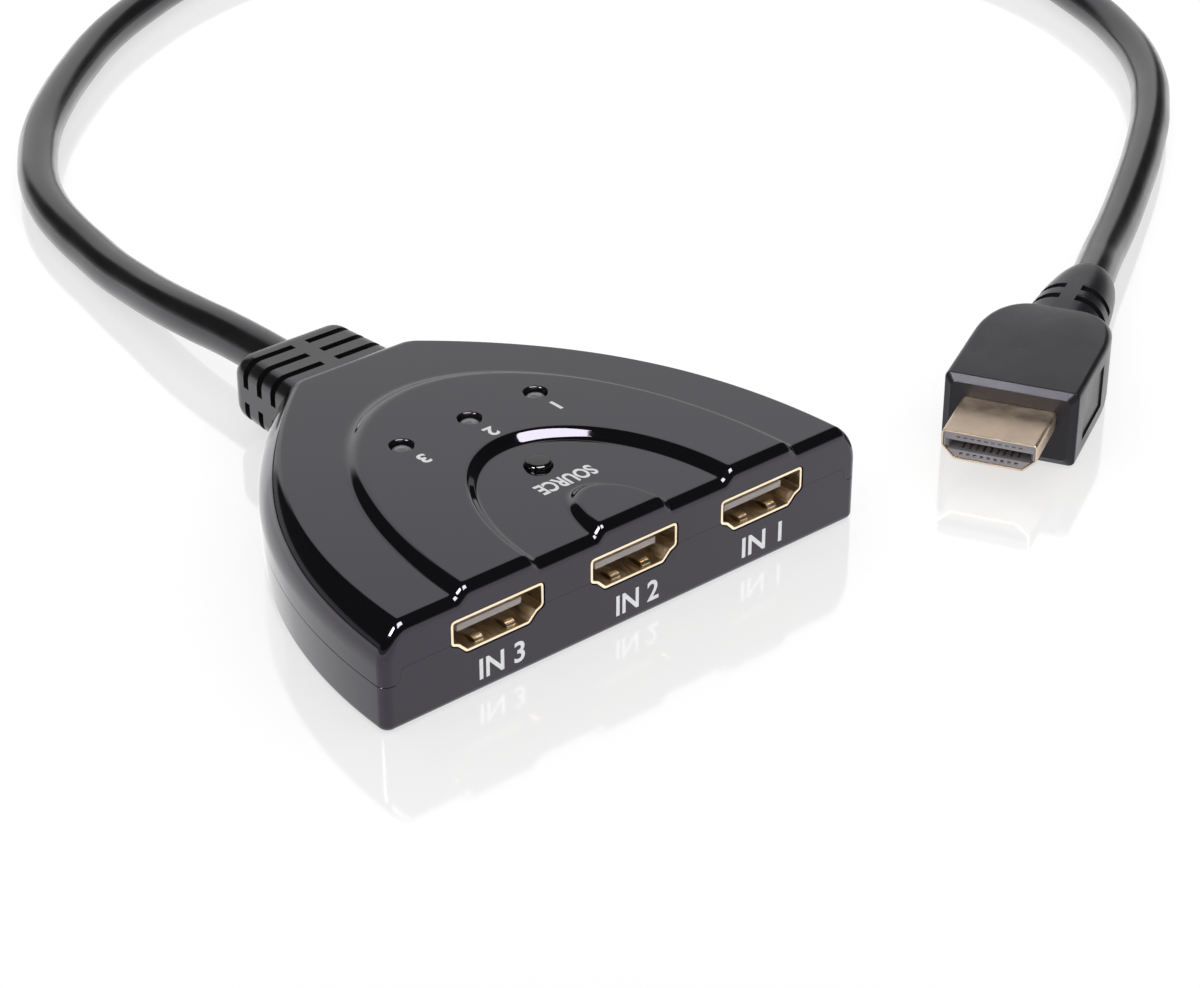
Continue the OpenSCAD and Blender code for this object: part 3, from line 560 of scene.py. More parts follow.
def lathe(bm: bmesh.types.BMesh, profile: Outline, centre: Sequence[float], steps: int = 48) -> None:
    """Turns a profile of radius and height about an upright axis.

    Args:
        bm: The mesh that takes the turned shape.
        profile: Radius and height of each point, from the axis back to the axis.
        centre: Place of the axis in plan.
        steps: Number of steps in a full turn.
    """
    verts = [bm.verts.new((centre[0] + r, centre[1], z)) for r, z in profile]
    edges = [bm.edges.new(pair) for pair in zip(verts, verts[1:])]
    bmesh.ops.spin(
        bm, geom=verts + edges, cent=(centre[0], centre[1], 0.0), axis=(0.0, 0.0, 1.0),
        dvec=(0.0, 0.0, 0.0), angle=2.0 * math.pi, steps=steps, use_merge=True, use_duplicate=False,
    )
    bmesh.ops.remove_doubles(bm, verts=bm.verts, dist=MERGE)
    bmesh.ops.recalc_face_normals(bm, faces=bm.faces)


def block(bm: bmesh.types.BMesh, low: Sequence[float], high: Sequence[float]) -> None:
    """Adds a box between two corners."""
    size = Vector(high) - Vector(low)
    middle = (Vector(high) + Vector(low)) / 2.0
    place = Matrix.Translation(middle) @ Matrix.Diagonal((*size, 1.0))
    bmesh.ops.create_cube(bm, size=1.0, matrix=place)


def arc(centre: Sequence[float], radius: float, start: float, end: float, steps: int) -> Outline:
    """Points on an arc.

    Args:
        centre: Middle of the arc.
        radius: Its radius.
        start: First angle, in radians.
        end: Last angle, in radians.
        steps: Number of steps between them.

    Returns:
        The arc's points, with both ends.
    """
    turns = [start + (end - start) * i / steps for i in range(steps + 1)]
    return [(centre[0] + radius * math.cos(t), centre[1] + radius * math.sin(t)) for t in turns]


def quarter_turn(steps: int) -> list[float]:
    """Angles of a quarter turn in equal steps, with both ends."""
    return [math.pi / 2 * k / steps for k in range(steps + 1)]


def both_sides(half: Outline) -> Outline:
    """A half outline followed by its mirror image."""
    return half + [(-x, y) for x, y in reversed(half)]


def grown(outline: Outline, by: float) -> Outline:
    """Moves every side of a closed counter-clockwise outline outwards.

    Args:
        outline: The outline's corners.
        by: Distance, negative to shrink.

    Returns:
        The corners of the moved outline.
    """
    corners = [Vector(p) for p in outline]
    result: Outline = []
    for i, corner in enumerate(corners):
        before = (corner - corners[i - 1]).normalized()
        after = (corners[(i + 1) % len(corners)] - corner).normalized()
        out_before = Vector((before.y, -before.x))
        out_after = Vector((after.y, -after.x))
        bisector = (out_before + out_after).normalized()
        moved = corner + bisector * (by / bisector.dot(out_after))
        result.append((moved.x, moved.y))
    return result


def softened(outline: Outline, radius: float, steps: int = 4) -> Outline:
    """Rounds every corner of a closed outline.

    Args:
        outline: The outline's corners.
        radius: Radius of the rounding.
        steps: Steps of each rounding.

    Returns:
        The rounded outline, with the same number of points at each corner.
    """
    corners = [Vector(p) for p in outline]
    result: Outline = []
    for i, corner in enumerate(corners):
        back = corners[i - 1] - corner
        on = corners[(i + 1) % len(corners)] - corner
        half = back.angle(on) / 2.0
        reach = min(radius / math.tan(half), CORNER_SHARE * back.length, CORNER_SHARE * on.length)
        first = corner + back.normalized() * reach
        last = corner + on.normalized() * reach
        for k in range(steps + 1):
            t = k / steps
            point = first * (1 - t) ** 2 + corner * 2 * t * (1 - t) + last * t ** 2
            result.append((point.x, point.y))
    return result


def round_box(width: float, height: float, radius: float, steps: int = 8) -> Outline:
    """Rounded rectangle about the origin."""
    x, y = width / 2.0 - radius, height / 2.0 - radius
    quarter = math.pi / 2.0
    corners = [((x, y), 0), ((-x, y), 1), ((-x, -y), 2), ((x, -y), 3)]
    return [p for c, k in corners for p in arc(c, radius, k * quarter, (k + 1) * quarter, steps)]


def along_y(outline: Outline, y: float, lift: float = 0.0) -> Ring:
    """Stands an outline of width and height up at a place along Y."""
    return [Vector((x, y, z + lift)) for x, z in outline]


def along_z(outline: Outline, z: float) -> Ring:
    """Lays a plan outline at a height."""
    return [Vector((x, y, z)) for x, y in outline]


def flex_slots(
    rows: Sequence[float], width: float, rib: float, reach: float, level: float = 0.0
) -> bmesh.types.BMesh:
    """Makes the blocks that cut flex slots, four to a row with ribs left between them.

    Args:
        rows: Places of the rows along the cable.
        width: Width of a slot.
        rib: Width of the ribs.
        reach: How far the blocks reach out.
        level: Height of the cable's axis.

    Returns:
        The blocks.
    """
    bm = bmesh.new()
    for y in rows:
        for sx in (-1, 1):
            for sz in (-1, 1):
                x = sorted((sx * rib / 2, sx * reach))
                z = sorted((level + sz * rib / 2, level + sz * reach))
                block(bm, (x[0], y - width / 2, z[0]), (x[1], y + width / 2, z[1]))
    return bm


def rolled_sheet(front: float, back: float, sheet: float, roll: Sequence[Pair]) -> Outline:
    """Finds the stations of a sheet tube with a rolled mouth, along its outside and back inside.

    Args:
        front: Place of the mouth.
        back: Place of the other end.
        sheet: Thickness of the sheet.
        roll: Distance behind the mouth and depth under the sheet's face of each point of the roll.

    Returns:
        Place along the tube, and growth of its outline, at each station.
    """
    outer = [(back, 0.0), *[(front + run, -deep) for run, deep in roll]]
    return outer + [(y, -sheet - grow) for y, grow in reversed(outer)]


class Workpiece:
    """A mesh under construction, in millimetres, that ends as a dressed piece."""

    NODE_FLATNESS = math.radians(1.0)
    EASE_FLATNESS = math.radians(0.5)
    FULL_WEIGHT = 100

    def __init__(self, name: str, bm: bmesh.types.BMesh) -> None:
        """Turns a bmesh into an object and frees it."""
        mesh = bpy.data.meshes.new(name)
        bm.to_mesh(mesh)
        bm.free()
        self.obj = bpy.data.objects.new(name, mesh)
        bpy.context.scene.collection.objects.link(self.obj)

    @classmethod
    def from_node(cls, name: str, node: str) -> "Workpiece":
        """Starts from a merged copy of a node of the frame.

        Args:
            name: Name of the new piece.
            node: The node that is copied.

        Returns:
            The new work piece.
        """
        bm = bmesh.new()
        bm.from_mesh(NODES[node].data)
        bmesh.ops.scale(bm, vec=(1.0 / MM,) * 3, verts=bm.verts)
        bmesh.ops.remove_doubles(bm, verts=bm.verts, dist=MERGE)
        bmesh.ops.dissolve_limit(bm, angle_limit=cls.NODE_FLATNESS, verts=bm.verts, edges=bm.edges)
        return cls(name, bm)

    def carve(self, tool: bmesh.types.BMesh, how: Carve = Carve.CUT) -> "Workpiece":
        """Cuts or joins another solid.

        Args:
            tool: The other solid, which is used up.
            how: Whether it cuts or joins.

        Returns:
            The same work piece.
        """
        other = Workpiece("tool", tool).obj
        step = self.obj.modifiers.new("carve", "BOOLEAN")
        step.object = other
        step.operation = how.value
        step.solver = "EXACT"
        graph = bpy.context.evaluated_depsgraph_get()
        graph.update()
        worked = bpy.data.meshes.new_from_object(self.obj.evaluated_get(graph))
        self.obj.modifiers.clear()
        self.obj.data = worked
        bpy.data.objects.remove(other)
        return self

    def turn(self, place: Matrix) -> "Workpiece":
        """Moves the shape by a matrix."""
        self.obj.data.transform(place)
        return self

    def melt(self) -> bmesh.types.BMesh:
        """Turns the work piece back into a bmesh and removes it."""
        bm = bmesh.new()
        bm.from_mesh(self.obj.data)
        bpy.data.objects.remove(self.obj)
        return bm

    def ease(self, width: float, angle: float = 40.0, segments: int = 2) -> "Workpiece":
        """Rounds the sharp edges.

        Args:
            width: Width of the rounding.
            angle: Edges sharper than this, in degrees, are rounded.
            segments: Steps of the rounding.

        Returns:
            The same work piece.
        """
        bm = bmesh.new()
        bm.from_mesh(self.obj.data)
        bmesh.ops.remove_doubles(bm, verts=bm.verts, dist=MERGE)
        bmesh.ops.dissolve_limit(bm, angle_limit=self.EASE_FLATNESS, verts=bm.verts, edges=bm.edges)
        sharp = [e for e in bm.edges if e.is_manifold and e.calc_face_angle(0.0) > math.radians(angle)]
        bmesh.ops.bevel(
            bm, geom=sharp, offset=width, offset_type="OFFSET", segments=segments, profile=0.5,
            affect="EDGES", clamp_overlap=True, material=-1,
        )
        bm.to_mesh(self.obj.data)
        bm.free()
        return self

    def dress(
        self, finish: Finish, slot: Slot, replaces: Sequence[str] = (), body: Body = Body.HOUSING,
        crease: float = 32.0,
    ) -> bpy.types.Object:
        """Finishes the piece and hands it to the frame.

        Args:
            finish: The finish of its surface.
            slot: The record's material slot; not used.
            replaces: Nodes of the frame that it stands for.
            body: The body that it rides on.
            crease: Edges sharper than this, in degrees, stay crisp.

        Returns:
            The finished piece.
        """
        mesh = self.obj.data
        mesh.transform(Matrix.Scale(MM, 4))
        mesh.shade_smooth()
        mesh.set_sharp_from_angle(angle=math.radians(crease))
        flats = self.obj.modifiers.new("flat_faces", "WEIGHTED_NORMAL")
        flats.keep_sharp = True
        flats.weight = self.FULL_WEIGHT
        mesh.materials.clear()
        mesh.materials.append(finish.material())
        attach(self.obj, body.value)
        if replaces:
            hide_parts(*replaces)
        LOG.info("piece %s: %d faces", self.obj.name, len(mesh.polygons))
        return self.obj


def paint(nodes: Sequence[str], finish: Finish) -> None:
    """Lays a finish on nodes of the frame that keep their own shape."""
    for node in nodes:
        NODES[node].data.materials.clear()
        NODES[node].data.materials.append(finish.material())
        LOG.info("node %s: %s", node, finish.name)


@dataclass
class Viewpoint:
    """Camera at the photograph's place."""

    place: Triple = (-215.06, -271.97, 203.95)
    right: Triple = (0.7554, -0.6553, 0.0)
    up: Triple = (0.3255, 0.3752, 0.8679)
    lens: float = 87.0
    sensor: float = 36.0
    clip: Pair = (0.01, 20.0)

    def build(self) -> bpy.types.Object:
        """Makes the camera and looks through it."""
        data = bpy.data.cameras.new("viewpoint")
        data.sensor_fit = "HORIZONTAL"
        data.sensor_width = self.sensor
        data.lens = self.lens
        data.clip_start, data.clip_end = self.clip
        obj = bpy.data.objects.new("viewpoint", data)
        x = Vector(self.right).normalized()
        z = x.cross(Vector(self.up)).normalized()
        y = z.cross(x)
        turn = Matrix((x, y, z)).transposed().to_4x4()
        obj.matrix_world = Matrix.Translation(Vector(self.place) * MM) @ turn
        bpy.context.scene.collection.objects.link(obj)
        bpy.context.scene.camera = obj
        return obj


@dataclass(frozen=True)
class Softbox:
    """One rectangular lamp aimed at the origin, in metres and watts."""

    name: str
    place: Triple
    size: Pair
    power: float

    def build(self) -> bpy.types.Object:
        """Makes the lamp, which shows in reflections and gives no diffuse light."""
        data = bpy.data.lights.new(self.name, "AREA")
        data.shape = "RECTANGLE"
        data.size, data.size_y = self.size
        data.energy = self.power
        obj = bpy.data.objects.new(self.name, data)
        turn = (-Vector(self.place)).to_track_quat("-Z", "Y").to_matrix().to_4x4()
        obj.matrix_world = Matrix.Translation(self.place) @ turn
        obj.visible_camera = False
        obj.visible_diffuse = False
        bpy.context.scene.collection.objects.link(obj)
        return obj


@dataclass
class Studio:
    """White table, white backdrop and soft lamps."""

    floor_radius: float = 4000.0
    floor_steps: int = 96
    floor_drop: float = 0.03
    floor_colour: Colour = (0.4, 0.4, 0.4)
    floor_patch: float = 8.0
    floor_gloss: Pair = (0.07, 0.1)
    floor_glow: float = 0.63
    floor_extra: float = 0.3
    floor_index: float = 1.9
    ambient: float = 0.95
    backdrop: float = 1.2
    gloom: float = 0.035
    card_top: float = 0.7
    card_top_blur: float = 0.08
    card_side: float = 0.56
    card_side_blur: float = 0.1
    horizon: float = 0.14
    horizon_blur: float = 0.04
    skirt: float = 0.4
    gap: float = 0.022
    gap_blur: float = -0.01
    far_way: Triple = (0.537, 0.843, 0.0)
    lamps: tuple[Softbox, ...] = (
        Softbox("strip_lamp", (-0.03, -0.39, 0.95), (0.82, 0.5), 26.0),
        Softbox("left_lamp", (-0.76, -0.02, 0.7), (0.34, 0.34), 15.0),
    )

    def build(self) -> None:
        """Makes the table, the world and the lamps, whose mirror images stay off the table."""
        spared = bpy.data.collections.new("spared_by_lamps")
        spared.objects.link(self.table())
        spared.collection_objects[0].light_linking.link_state = "EXCLUDE"
        self.world()
        for lamp in self.lamps:
            lamp.build().light_linking.receiver_collection = spared

    def table(self) -> bpy.types.Object:
        """Makes the table top."""
        bm = bmesh.new()
        bmesh.ops.create_circle(bm, cap_ends=True, segments=self.floor_steps, radius=self.floor_radius)
        bmesh.ops.translate(bm, vec=(0.0, 0.0, -self.floor_drop), verts=bm.verts)
        piece = Workpiece("table_top", bm).obj
        piece.data.transform(Matrix.Scale(MM, 4))
        piece.data.materials.append(self.table_finish())
        return piece

    def table_finish(self) -> bpy.types.Material:
        """White gloss table that stays white to the camera and keeps the object's shadow."""
        recipe = Recipe("white_table")
        recipe.put(Base_Color=(*self.floor_colour, 1.0), IOR=self.floor_index)
        recipe.gloss(self.floor_patch, self.floor_gloss)
        path = recipe.node("ShaderNodeLightPath")
        level = recipe.node("ShaderNodeMath")
        level.operation = "MULTIPLY_ADD"
        level.inputs[1].default_value = self.floor_extra
        level.inputs[2].default_value = self.floor_glow
        recipe.link(path.outputs["Is Glossy Ray"], level.inputs[0])
        recipe.put(Emission_Color=(1.0, 1.0, 1.0, 1.0))
        recipe.link(level.outputs[0], recipe.surface.inputs["Emission Strength"])
        return recipe.material

    def world(self) -> None:
        """White card beyond the object, a white horizon and a dim room elsewhere."""
        world = bpy.data.worlds.new("studio")
        bpy.context.scene.world = world
        world.use_nodes = True
        tree = world.node_tree
        tree.nodes.clear()
        place = tree.nodes.new("ShaderNodeTexCoord")
        split = tree.nodes.new("ShaderNodeSeparateXYZ")
        path = tree.nodes.new("ShaderNodeLightPath")
        ahead, aside = (tree.nodes.new("ShaderNodeVectorMath") for _ in range(2))
        for dot, way in ((ahead, self.far_way), (aside, (self.far_way[1], -self.far_way[0], 0.0))):
            dot.operation = "DOT_PRODUCT"
            dot.inputs[1].default_value = way
        swing, turn, card, wall, clear, lifted = (tree.nodes.new("ShaderNodeMath") for _ in range(6))
        jobs = (
            (swing, "ARCTAN2"), (turn, "ABSOLUTE"), (card, "MULTIPLY"), (wall, "MAXIMUM"), (clear, "SUBTRACT"),
            (lifted, "MULTIPLY"),
        )
        for node, job in jobs:
            node.operation = job
        near, below, low, shine, gap = (tree.nodes.new("ShaderNodeMapRange") for _ in range(5))
        edges = (
            (near, self.card_side, self.card_side_blur), (below, self.card_top, self.card_top_blur),
            (low, self.horizon, self.horizon_blur), (gap, self.gap, self.gap_blur),
        )
        for node, edge, blur in edges:
            node.interpolation_type = "SMOOTHSTEP"
            node.inputs["From Min"].default_value = edge
            node.inputs["From Max"].default_value = edge - blur
        low.inputs["To Max"].default_value = self.skirt
        shine.inputs["To Min"].default_value = self.gloom
        shine.inputs["To Max"].default_value = self.backdrop
        soft, seen = (tree.nodes.new("ShaderNodeMix") for _ in range(2))
        soft.inputs["A"].default_value = self.ambient
        seen.inputs["B"].default_value = 1.0
        light = tree.nodes.new("ShaderNodeBackground")
        out = tree.nodes.new("ShaderNodeOutputWorld")
        wire(tree, (
            (place.outputs["Generated"], split.inputs["Vector"]),
            (place.outputs["Generated"], ahead.inputs[0]),
            (place.outputs["Generated"], aside.inputs[0]),
            (aside.outputs["Value"], swing.inputs[0]),
            (ahead.outputs["Value"], swing.inputs[1]),
            (swing.outputs[0], turn.inputs[0]),
            (turn.outputs[0], near.inputs["Value"]),
            (split.outputs["Z"], below.inputs["Value"]),
            (split.outputs["Z"], low.inputs["Value"]),
            (near.outputs["Result"], card.inputs[0]),
            (below.outputs["Result"], card.inputs[1]),
            (card.outputs[0], wall.inputs[0]),
            (low.outputs["Result"], wall.inputs[1]),
            (split.outputs["Z"], gap.inputs["Value"]),
            (wall.outputs[0], lifted.inputs[0]),
            (gap.outputs["Result"], lifted.inputs[1]),
            (lifted.outputs[0], shine.inputs["Value"]),
            (path.outputs["Is Glossy Ray"], clear.inputs[0]),
            (path.outputs["Is Transmission Ray"], clear.inputs[1]),
            (clear.outputs[0], soft.inputs["Factor"]),
            (shine.outputs["Result"], soft.inputs["B"]),
            (path.outputs["Is Camera Ray"], seen.inputs["Factor"]),
            (soft.outputs["Result"], seen.inputs["A"]),
            (seen.outputs["Result"], light.inputs["Strength"]),
            (light.outputs["Background"], out.inputs["Surface"]),
        ))


@dataclass
class Lead:
    """Cable that lies in a loop from the strain relief to the plug, with its length in metres."""

    diameter: float = 7.0
    length: float = 0.553
    ring_steps: int = 8
    route_steps: int = 10
    exit: Triple = (0.0, 46.5, 7.3)
    route: tuple[tuple[float, ...], ...] = (
        (0, 46.5, 7.3), (0, 54, 7.2), (0, 62, 6.9), (0, 71, 6.2), (0.5, 80, 5.3), (1.5, 89, 4.4),
        (2.5, 98, 3.8), (4, 107), (5.5, 116), (8, 126), (12, 136), (18, 146.5), (25.5, 157), (35, 167.5),
        (46, 178), (58, 188), (71, 196.5), (91, 206.5), (111, 212), (132, 213), (152, 209), (171, 201.5),
        (188, 190), (202, 175.5), (213, 158), (220, 138.5), (223, 118.5), (221.5, 98), (215.5, 79),
        (207, 61.5), (196, 46.5), (182, 33.5), (167, 22.5), (150.5, 11.8), (136.3, 3.1, 3.8),
        (124, -4.2, 4.7), (117.9, -8.1, 5.4), (112.63, -11.32, 5.9),
    )

    def build(self) -> bpy.types.Object:
        """Makes the cable as one smooth curve on the route."""
        data = bpy.data.curves.new("lead_cable", "CURVE")
        data.dimensions = "3D"
        data.bevel_depth = self.diameter / 2.0 * MM
        data.bevel_resolution = self.ring_steps
        data.resolution_u = self.route_steps
        data.use_fill_caps = True
        spline = data.splines.new("BEZIER")
        spline.bezier_points.add(len(self.route) - 1)
        for point, place in zip(spline.bezier_points, self.route):
            height = place[2] if len(place) > 2 else self.diameter / 2.0
            point.co = Vector((place[0], place[1], height)) * MM
            point.handle_left_type = "AUTO"
            point.handle_right_type = "AUTO"
        data.materials.append(JACKET_BLACK.material())
        obj = bpy.data.objects.new("lead_cable", data)
        bpy.context.scene.collection.objects.link(obj)
        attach(obj, Body.HOUSING.value)
        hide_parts("cable")
        LOG.info("piece %s: %d points", obj.name, len(self.route))
        return obj


@dataclass
class StrainRelief:
    """Slotted moulding where the cable leaves the housing."""

    width: float = 20.8
    height: float = 10.8
    start: float = 31.0
    length: float = 15.5
    corner: float = 2.6
    edge: float = 0.18
    level: float = CABLE_LEVEL
    draft: Pair = (0.7, 0.3)
    end_round: Pair = (2.2, 1.3)
    end_steps: int = 6
    neck: Pair = (12.0, 8.4)
    neck_sunk: float = 1.0
    flange: Pair = (15.6, 9.6)
    flange_span: Pair = (27.3, 29.3)
    bore: float = 7.1
    bore_steps: int = 48
    slot_rows: tuple[float, ...] = (35.6, 39.2, 42.8)
    slot_width: float = 1.3
    slot_depth: float = 1.2
    rib: float = 2.4

    def section(self, y: float, inset: float) -> Ring:
        """Section of the moulding at a place along the cable, drawn in a little more by inset."""
        share = (y - self.start) / self.length
        width = self.width - 2 * (self.draft[0] * share + inset)
        height = self.height - 2 * (self.draft[1] * share + inset)
        return along_y(round_box(width, height, self.corner), y, self.level)

    def slots(self) -> bmesh.types.BMesh:
        """Makes the solid that cuts the flex slots, four to a row."""
        ends = (self.start - 2 * OVERCUT, self.start + self.length + 2 * OVERCUT)
        core = bmesh.new()
        loft(core, [self.section(y, self.slot_depth) for y in ends])
        blocks = flex_slots(self.slot_rows, self.slot_width, self.rib, self.width, self.level)
        return Workpiece("slots", blocks).carve(core).melt()

    def build(self) -> bpy.types.Object:
        """Makes the strain relief with its neck, flange, slots and bore."""
        bm = bmesh.new()
        end = self.start + self.length
        rings = [self.section(self.start, 0.0)]
        for t in quarter_turn(self.end_steps):
            back, inset = self.end_round[0] * (1 - math.sin(t)), self.end_round[1] * (1 - math.cos(t))
            rings.append(self.section(end - back, inset))
        loft(bm, rings)
        piece = Workpiece("strain_relief", bm)
        neck_span = (self.flange_span[0], self.start + self.neck_sunk)
        for size, span in ((self.neck, neck_span), (self.flange, self.flange_span)):
            part = bmesh.new()
            w, h = size[0] / 2, size[1] / 2
            block(part, (-w, span[0], self.level - h), (w, span[1], self.level + h))
            piece.carve(part, Carve.JOIN)
        piece.carve(self.slots())
        bore = bmesh.new()
        hole = arc((0.0, 0.0), self.bore / 2, 0.0, 2 * math.pi, self.bore_steps)[:-1]
        ends = (self.flange_span[0] - OVERCUT, end + OVERCUT)
        loft(bore, [along_y(hole, y, self.level) for y in ends])
        piece.carve(bore).ease(self.edge, angle=SHARP_EDGE)
        return piece.dress(JACKET_BLACK, Slot.MOULDING, ("cable_boot",))


@dataclass(frozen=True)
class NotchRow:
    """One row of notches at the face of the plug's insulator."""

    count: int
    level: float
    width: float
    height: float
    depth: float


@dataclass
class Plug:
    """Output plug that lies on the table at the end of the lead."""

    place: Triple = (69.86, -33.11, 5.9)
    turn: float = -63.0
    width: float = 19.9
    height: float = 11.8
    bevel: Pair = (0.82, 0.95)
    bevel_round: float = 0.08
    face_ease: float = 0.12
    edge: float = 0.15
    corner: float = 0.9
    grip: float = 16.0
    shoulder: float = 28.6
    shoulder_corner: float = 4.2
    length: float = 48.0
    neck_root: Pair = (12.6, 10.2)
    neck_end: float = 8.2
    neck_turn: float = 70.0
    neck_sunk: float = 2.0
    least_flat: float = 0.01
    bend_steps: int = 12
    slot_rows: tuple[float, ...] = (33.0, 37.0)
    slot_width: float = 1.7
    slot_depth: float = 0.8
    rib: float = 2.4
    hollow: Triple = (11.5, 6.8, 0.28)
    hollow_in: float = 4.5
    tip: Triple = (13.9, 4.45, 10.7)
    tip_flat: float = 10.0
    tip_side: float = 1.9
    tip_lift: float = 0.5
    tip_root: float = 3.0
    tip_gap: float = 0.05
    tip_sheet: float = 0.3
    tip_corner: float = 0.6
    least_corner: float = 0.2
    tip_roll: tuple[Pair, ...] = ((0.1, 0.0), (0.03, 0.04), (0.0, 0.1))
    latch: tuple[float, float, float, float] = (3.2, 6.0, 2.0, 1.6)
    latch_cut: float = 0.5
    slot_mouth: Triple = (12.7, 1.5, 0.7)
    notches: tuple[NotchRow, ...] = (
        NotchRow(9, -1.27, 0.5, 0.4, 0.7),
        NotchRow(10, 1.3, 0.55, 0.24, 0.2),
    )
    notch_pitch: float = 1.0
    notch_setback: float = 0.2

    @property
    def matrix(self) -> Matrix:
        """Place and turn of the plug on the table."""
        return Matrix.Translation(self.place) @ Matrix.Rotation(math.radians(self.turn), 4, "Z")

    def section(self, y: float, width: float, height: float, corner: float) -> Ring:
        """Section of the grip at a length from its face."""
        return along_y(round_box(width, height, corner), y)

    def oval(self, y: float, width: float, height: float) -> Ring:
        """Section of the neck at a length from the grip's face."""
        return self.section(y, width, height, min(width, height) / 2 - self.least_flat)

    def mouth(self, grow: float) -> Outline:
        """Mouth of the plug's shell: wide above, narrowed below."""
        w, h, _ = self.tip
        foot = self.tip_lift - h / 2
        half = [(self.tip_flat / 2, foot), (w / 2, foot + self.tip_side), (w / 2, foot + h)]
        return softened(grown(both_sides(half), grow), max(self.tip_corner + grow, self.least_corner))

    def grip_body(self) -> bmesh.types.BMesh:
        """Makes the grip, from its bevelled face to its rounded shoulders."""
        bm = bmesh.new()
        drop = (self.width - self.neck_root[0], self.height - self.neck_root[1])
        bx, by = self.bevel
        ease, edge = self.face_ease, self.bevel_round
        stations = ((0.0, by + ease), (ease, by), (bx - edge, edge), (bx + ease, 0.0))
        rings = [
            self.section(y, self.width - 2 * inset, self.height - 2 * inset, self.corner)
            for y, inset in stations
        ]
        for t in quarter_turn(self.bend_steps):
            q = 1 - math.cos(t)
            rings.append(self.section(
                self.grip + (self.shoulder - self.grip) * math.sin(t), self.width - drop[0] * q,
                self.height - drop[1] * q, self.corner + (self.shoulder_corner - self.corner) * q,
            ))
        loft(bm, rings)
        return bm

    def neck_body(self) -> bmesh.types.BMesh:
        """Makes the oval neck with its rounded taper."""
        bm = bmesh.new()
        turn = math.radians(self.neck_turn)
        run = (self.length - self.shoulder) / math.sin(turn)
        rings = [self.oval(self.shoulder - self.neck_sunk, *self.neck_root)]
        for k in range(self.bend_steps + 1):
            t = turn * k / self.bend_steps
            q = (1 - math.cos(t)) / (1 - math.cos(turn))
            size = [root * (1 - q) + self.neck_end * q for root in self.neck_root]
            rings.append(self.oval(self.shoulder + run * math.sin(t), *size))
        loft(bm, rings)
        return bm

    def neck_slots(self) -> bmesh.types.BMesh:
        """Makes the solid that cuts the neck's flex slots."""
        core = bmesh.new()
        inner = [size - 2 * self.slot_depth for size in self.neck_root]
        loft(core, [self.oval(y, *inner) for y in (self.shoulder, self.length)])
        blocks = flex_slots(self.slot_rows, self.slot_width, self.rib, self.width)
        return Workpiece("slots", blocks).carve(core).melt()

    def overmould(self) -> bpy.types.Object:
        """Makes the grip with its neck, side hollows and mouth."""
        piece = Workpiece("plug_grip", self.grip_body())
        neck = Workpiece("neck", self.neck_body()).carve(self.neck_slots())
        piece.carve(neck.melt(), Carve.JOIN)
        cuts = bmesh.new()
        length, height, deep = self.hollow
        for side in (-1, 1):
            middle = side * self.width / 2
            low = (middle - deep, self.hollow_in, -height / 2)
            block(cuts, low, (middle + deep, self.hollow_in + length, height / 2))
        loft(cuts, [along_y(self.mouth(self.tip_gap), y) for y in (-OVERCUT, self.tip_root)])
        piece.carve(cuts).ease(self.edge, angle=SHARP_EDGE).turn(self.matrix)
        return piece.dress(SOFT_BLACK, Slot.MOULDING, ("plug_overmould",))

    def shell(self) -> bpy.types.Object:
        """Makes the plated shell with its rolled mouth and latch holes."""
        bm = bmesh.new()
        walls = rolled_sheet(-self.tip[2], self.tip_root, self.tip_sheet, self.tip_roll)
        loft(bm, [along_y(self.mouth(grow), y) for y, grow in walls], wrap=True)
        piece = Workpiece("plug_shell_plated", bm)
        cuts = bmesh.new()
        x, y, w, run = self.latch
        foot = self.tip_lift - self.tip[1] / 2
        for side in (-1, 1):
            low = (side * x - w / 2, -y - run / 2, foot - OVERCUT)
            block(cuts, low, (side * x + w / 2, -y + run / 2, foot + self.latch_cut))
        piece.carve(cuts).turn(self.matrix)
        return piece.dress(SATIN_GOLD, Slot.GOLD, ("plug_shell",))

    def insulator(self) -> bpy.types.Object:
        """Makes the insulator with its flared slot and the notches at its face."""
        front, level = -self.tip[2], self.tip_lift
        cuts = bmesh.new()
        wide, tall, deep = self.slot_mouth
        low = (-wide / 2, front - OVERCUT, level - tall / 2)
        block(cuts, low, (wide / 2, front + deep, level + tall / 2))
        for row in self.notches:
            z, end = level + row.level, front + self.notch_setback + row.depth
            for k in range(row.count):
                x = (k - (row.count - 1) / 2) * self.notch_pitch
                low = (x - row.width / 2, front - OVERCUT, z - row.height / 2)
                block(cuts, low, (x + row.width / 2, end, z + row.height / 2))
        piece = Workpiece.from_node("plug_insulator_block", "plug_insulator").turn(self.matrix.inverted())
        piece.carve(cuts).turn(self.matrix)
        return piece.dress(GREY_RESIN, Slot.RESIN, ("plug_insulator",))

    def build(self) -> list[bpy.types.Object]:
        """Makes the plug's pieces and dresses its contacts."""
        paint(["plug_contacts"], SATIN_GOLD)
        return [self.overmould(), self.shell(), self.insulator(), NODES["plug_contacts"]]


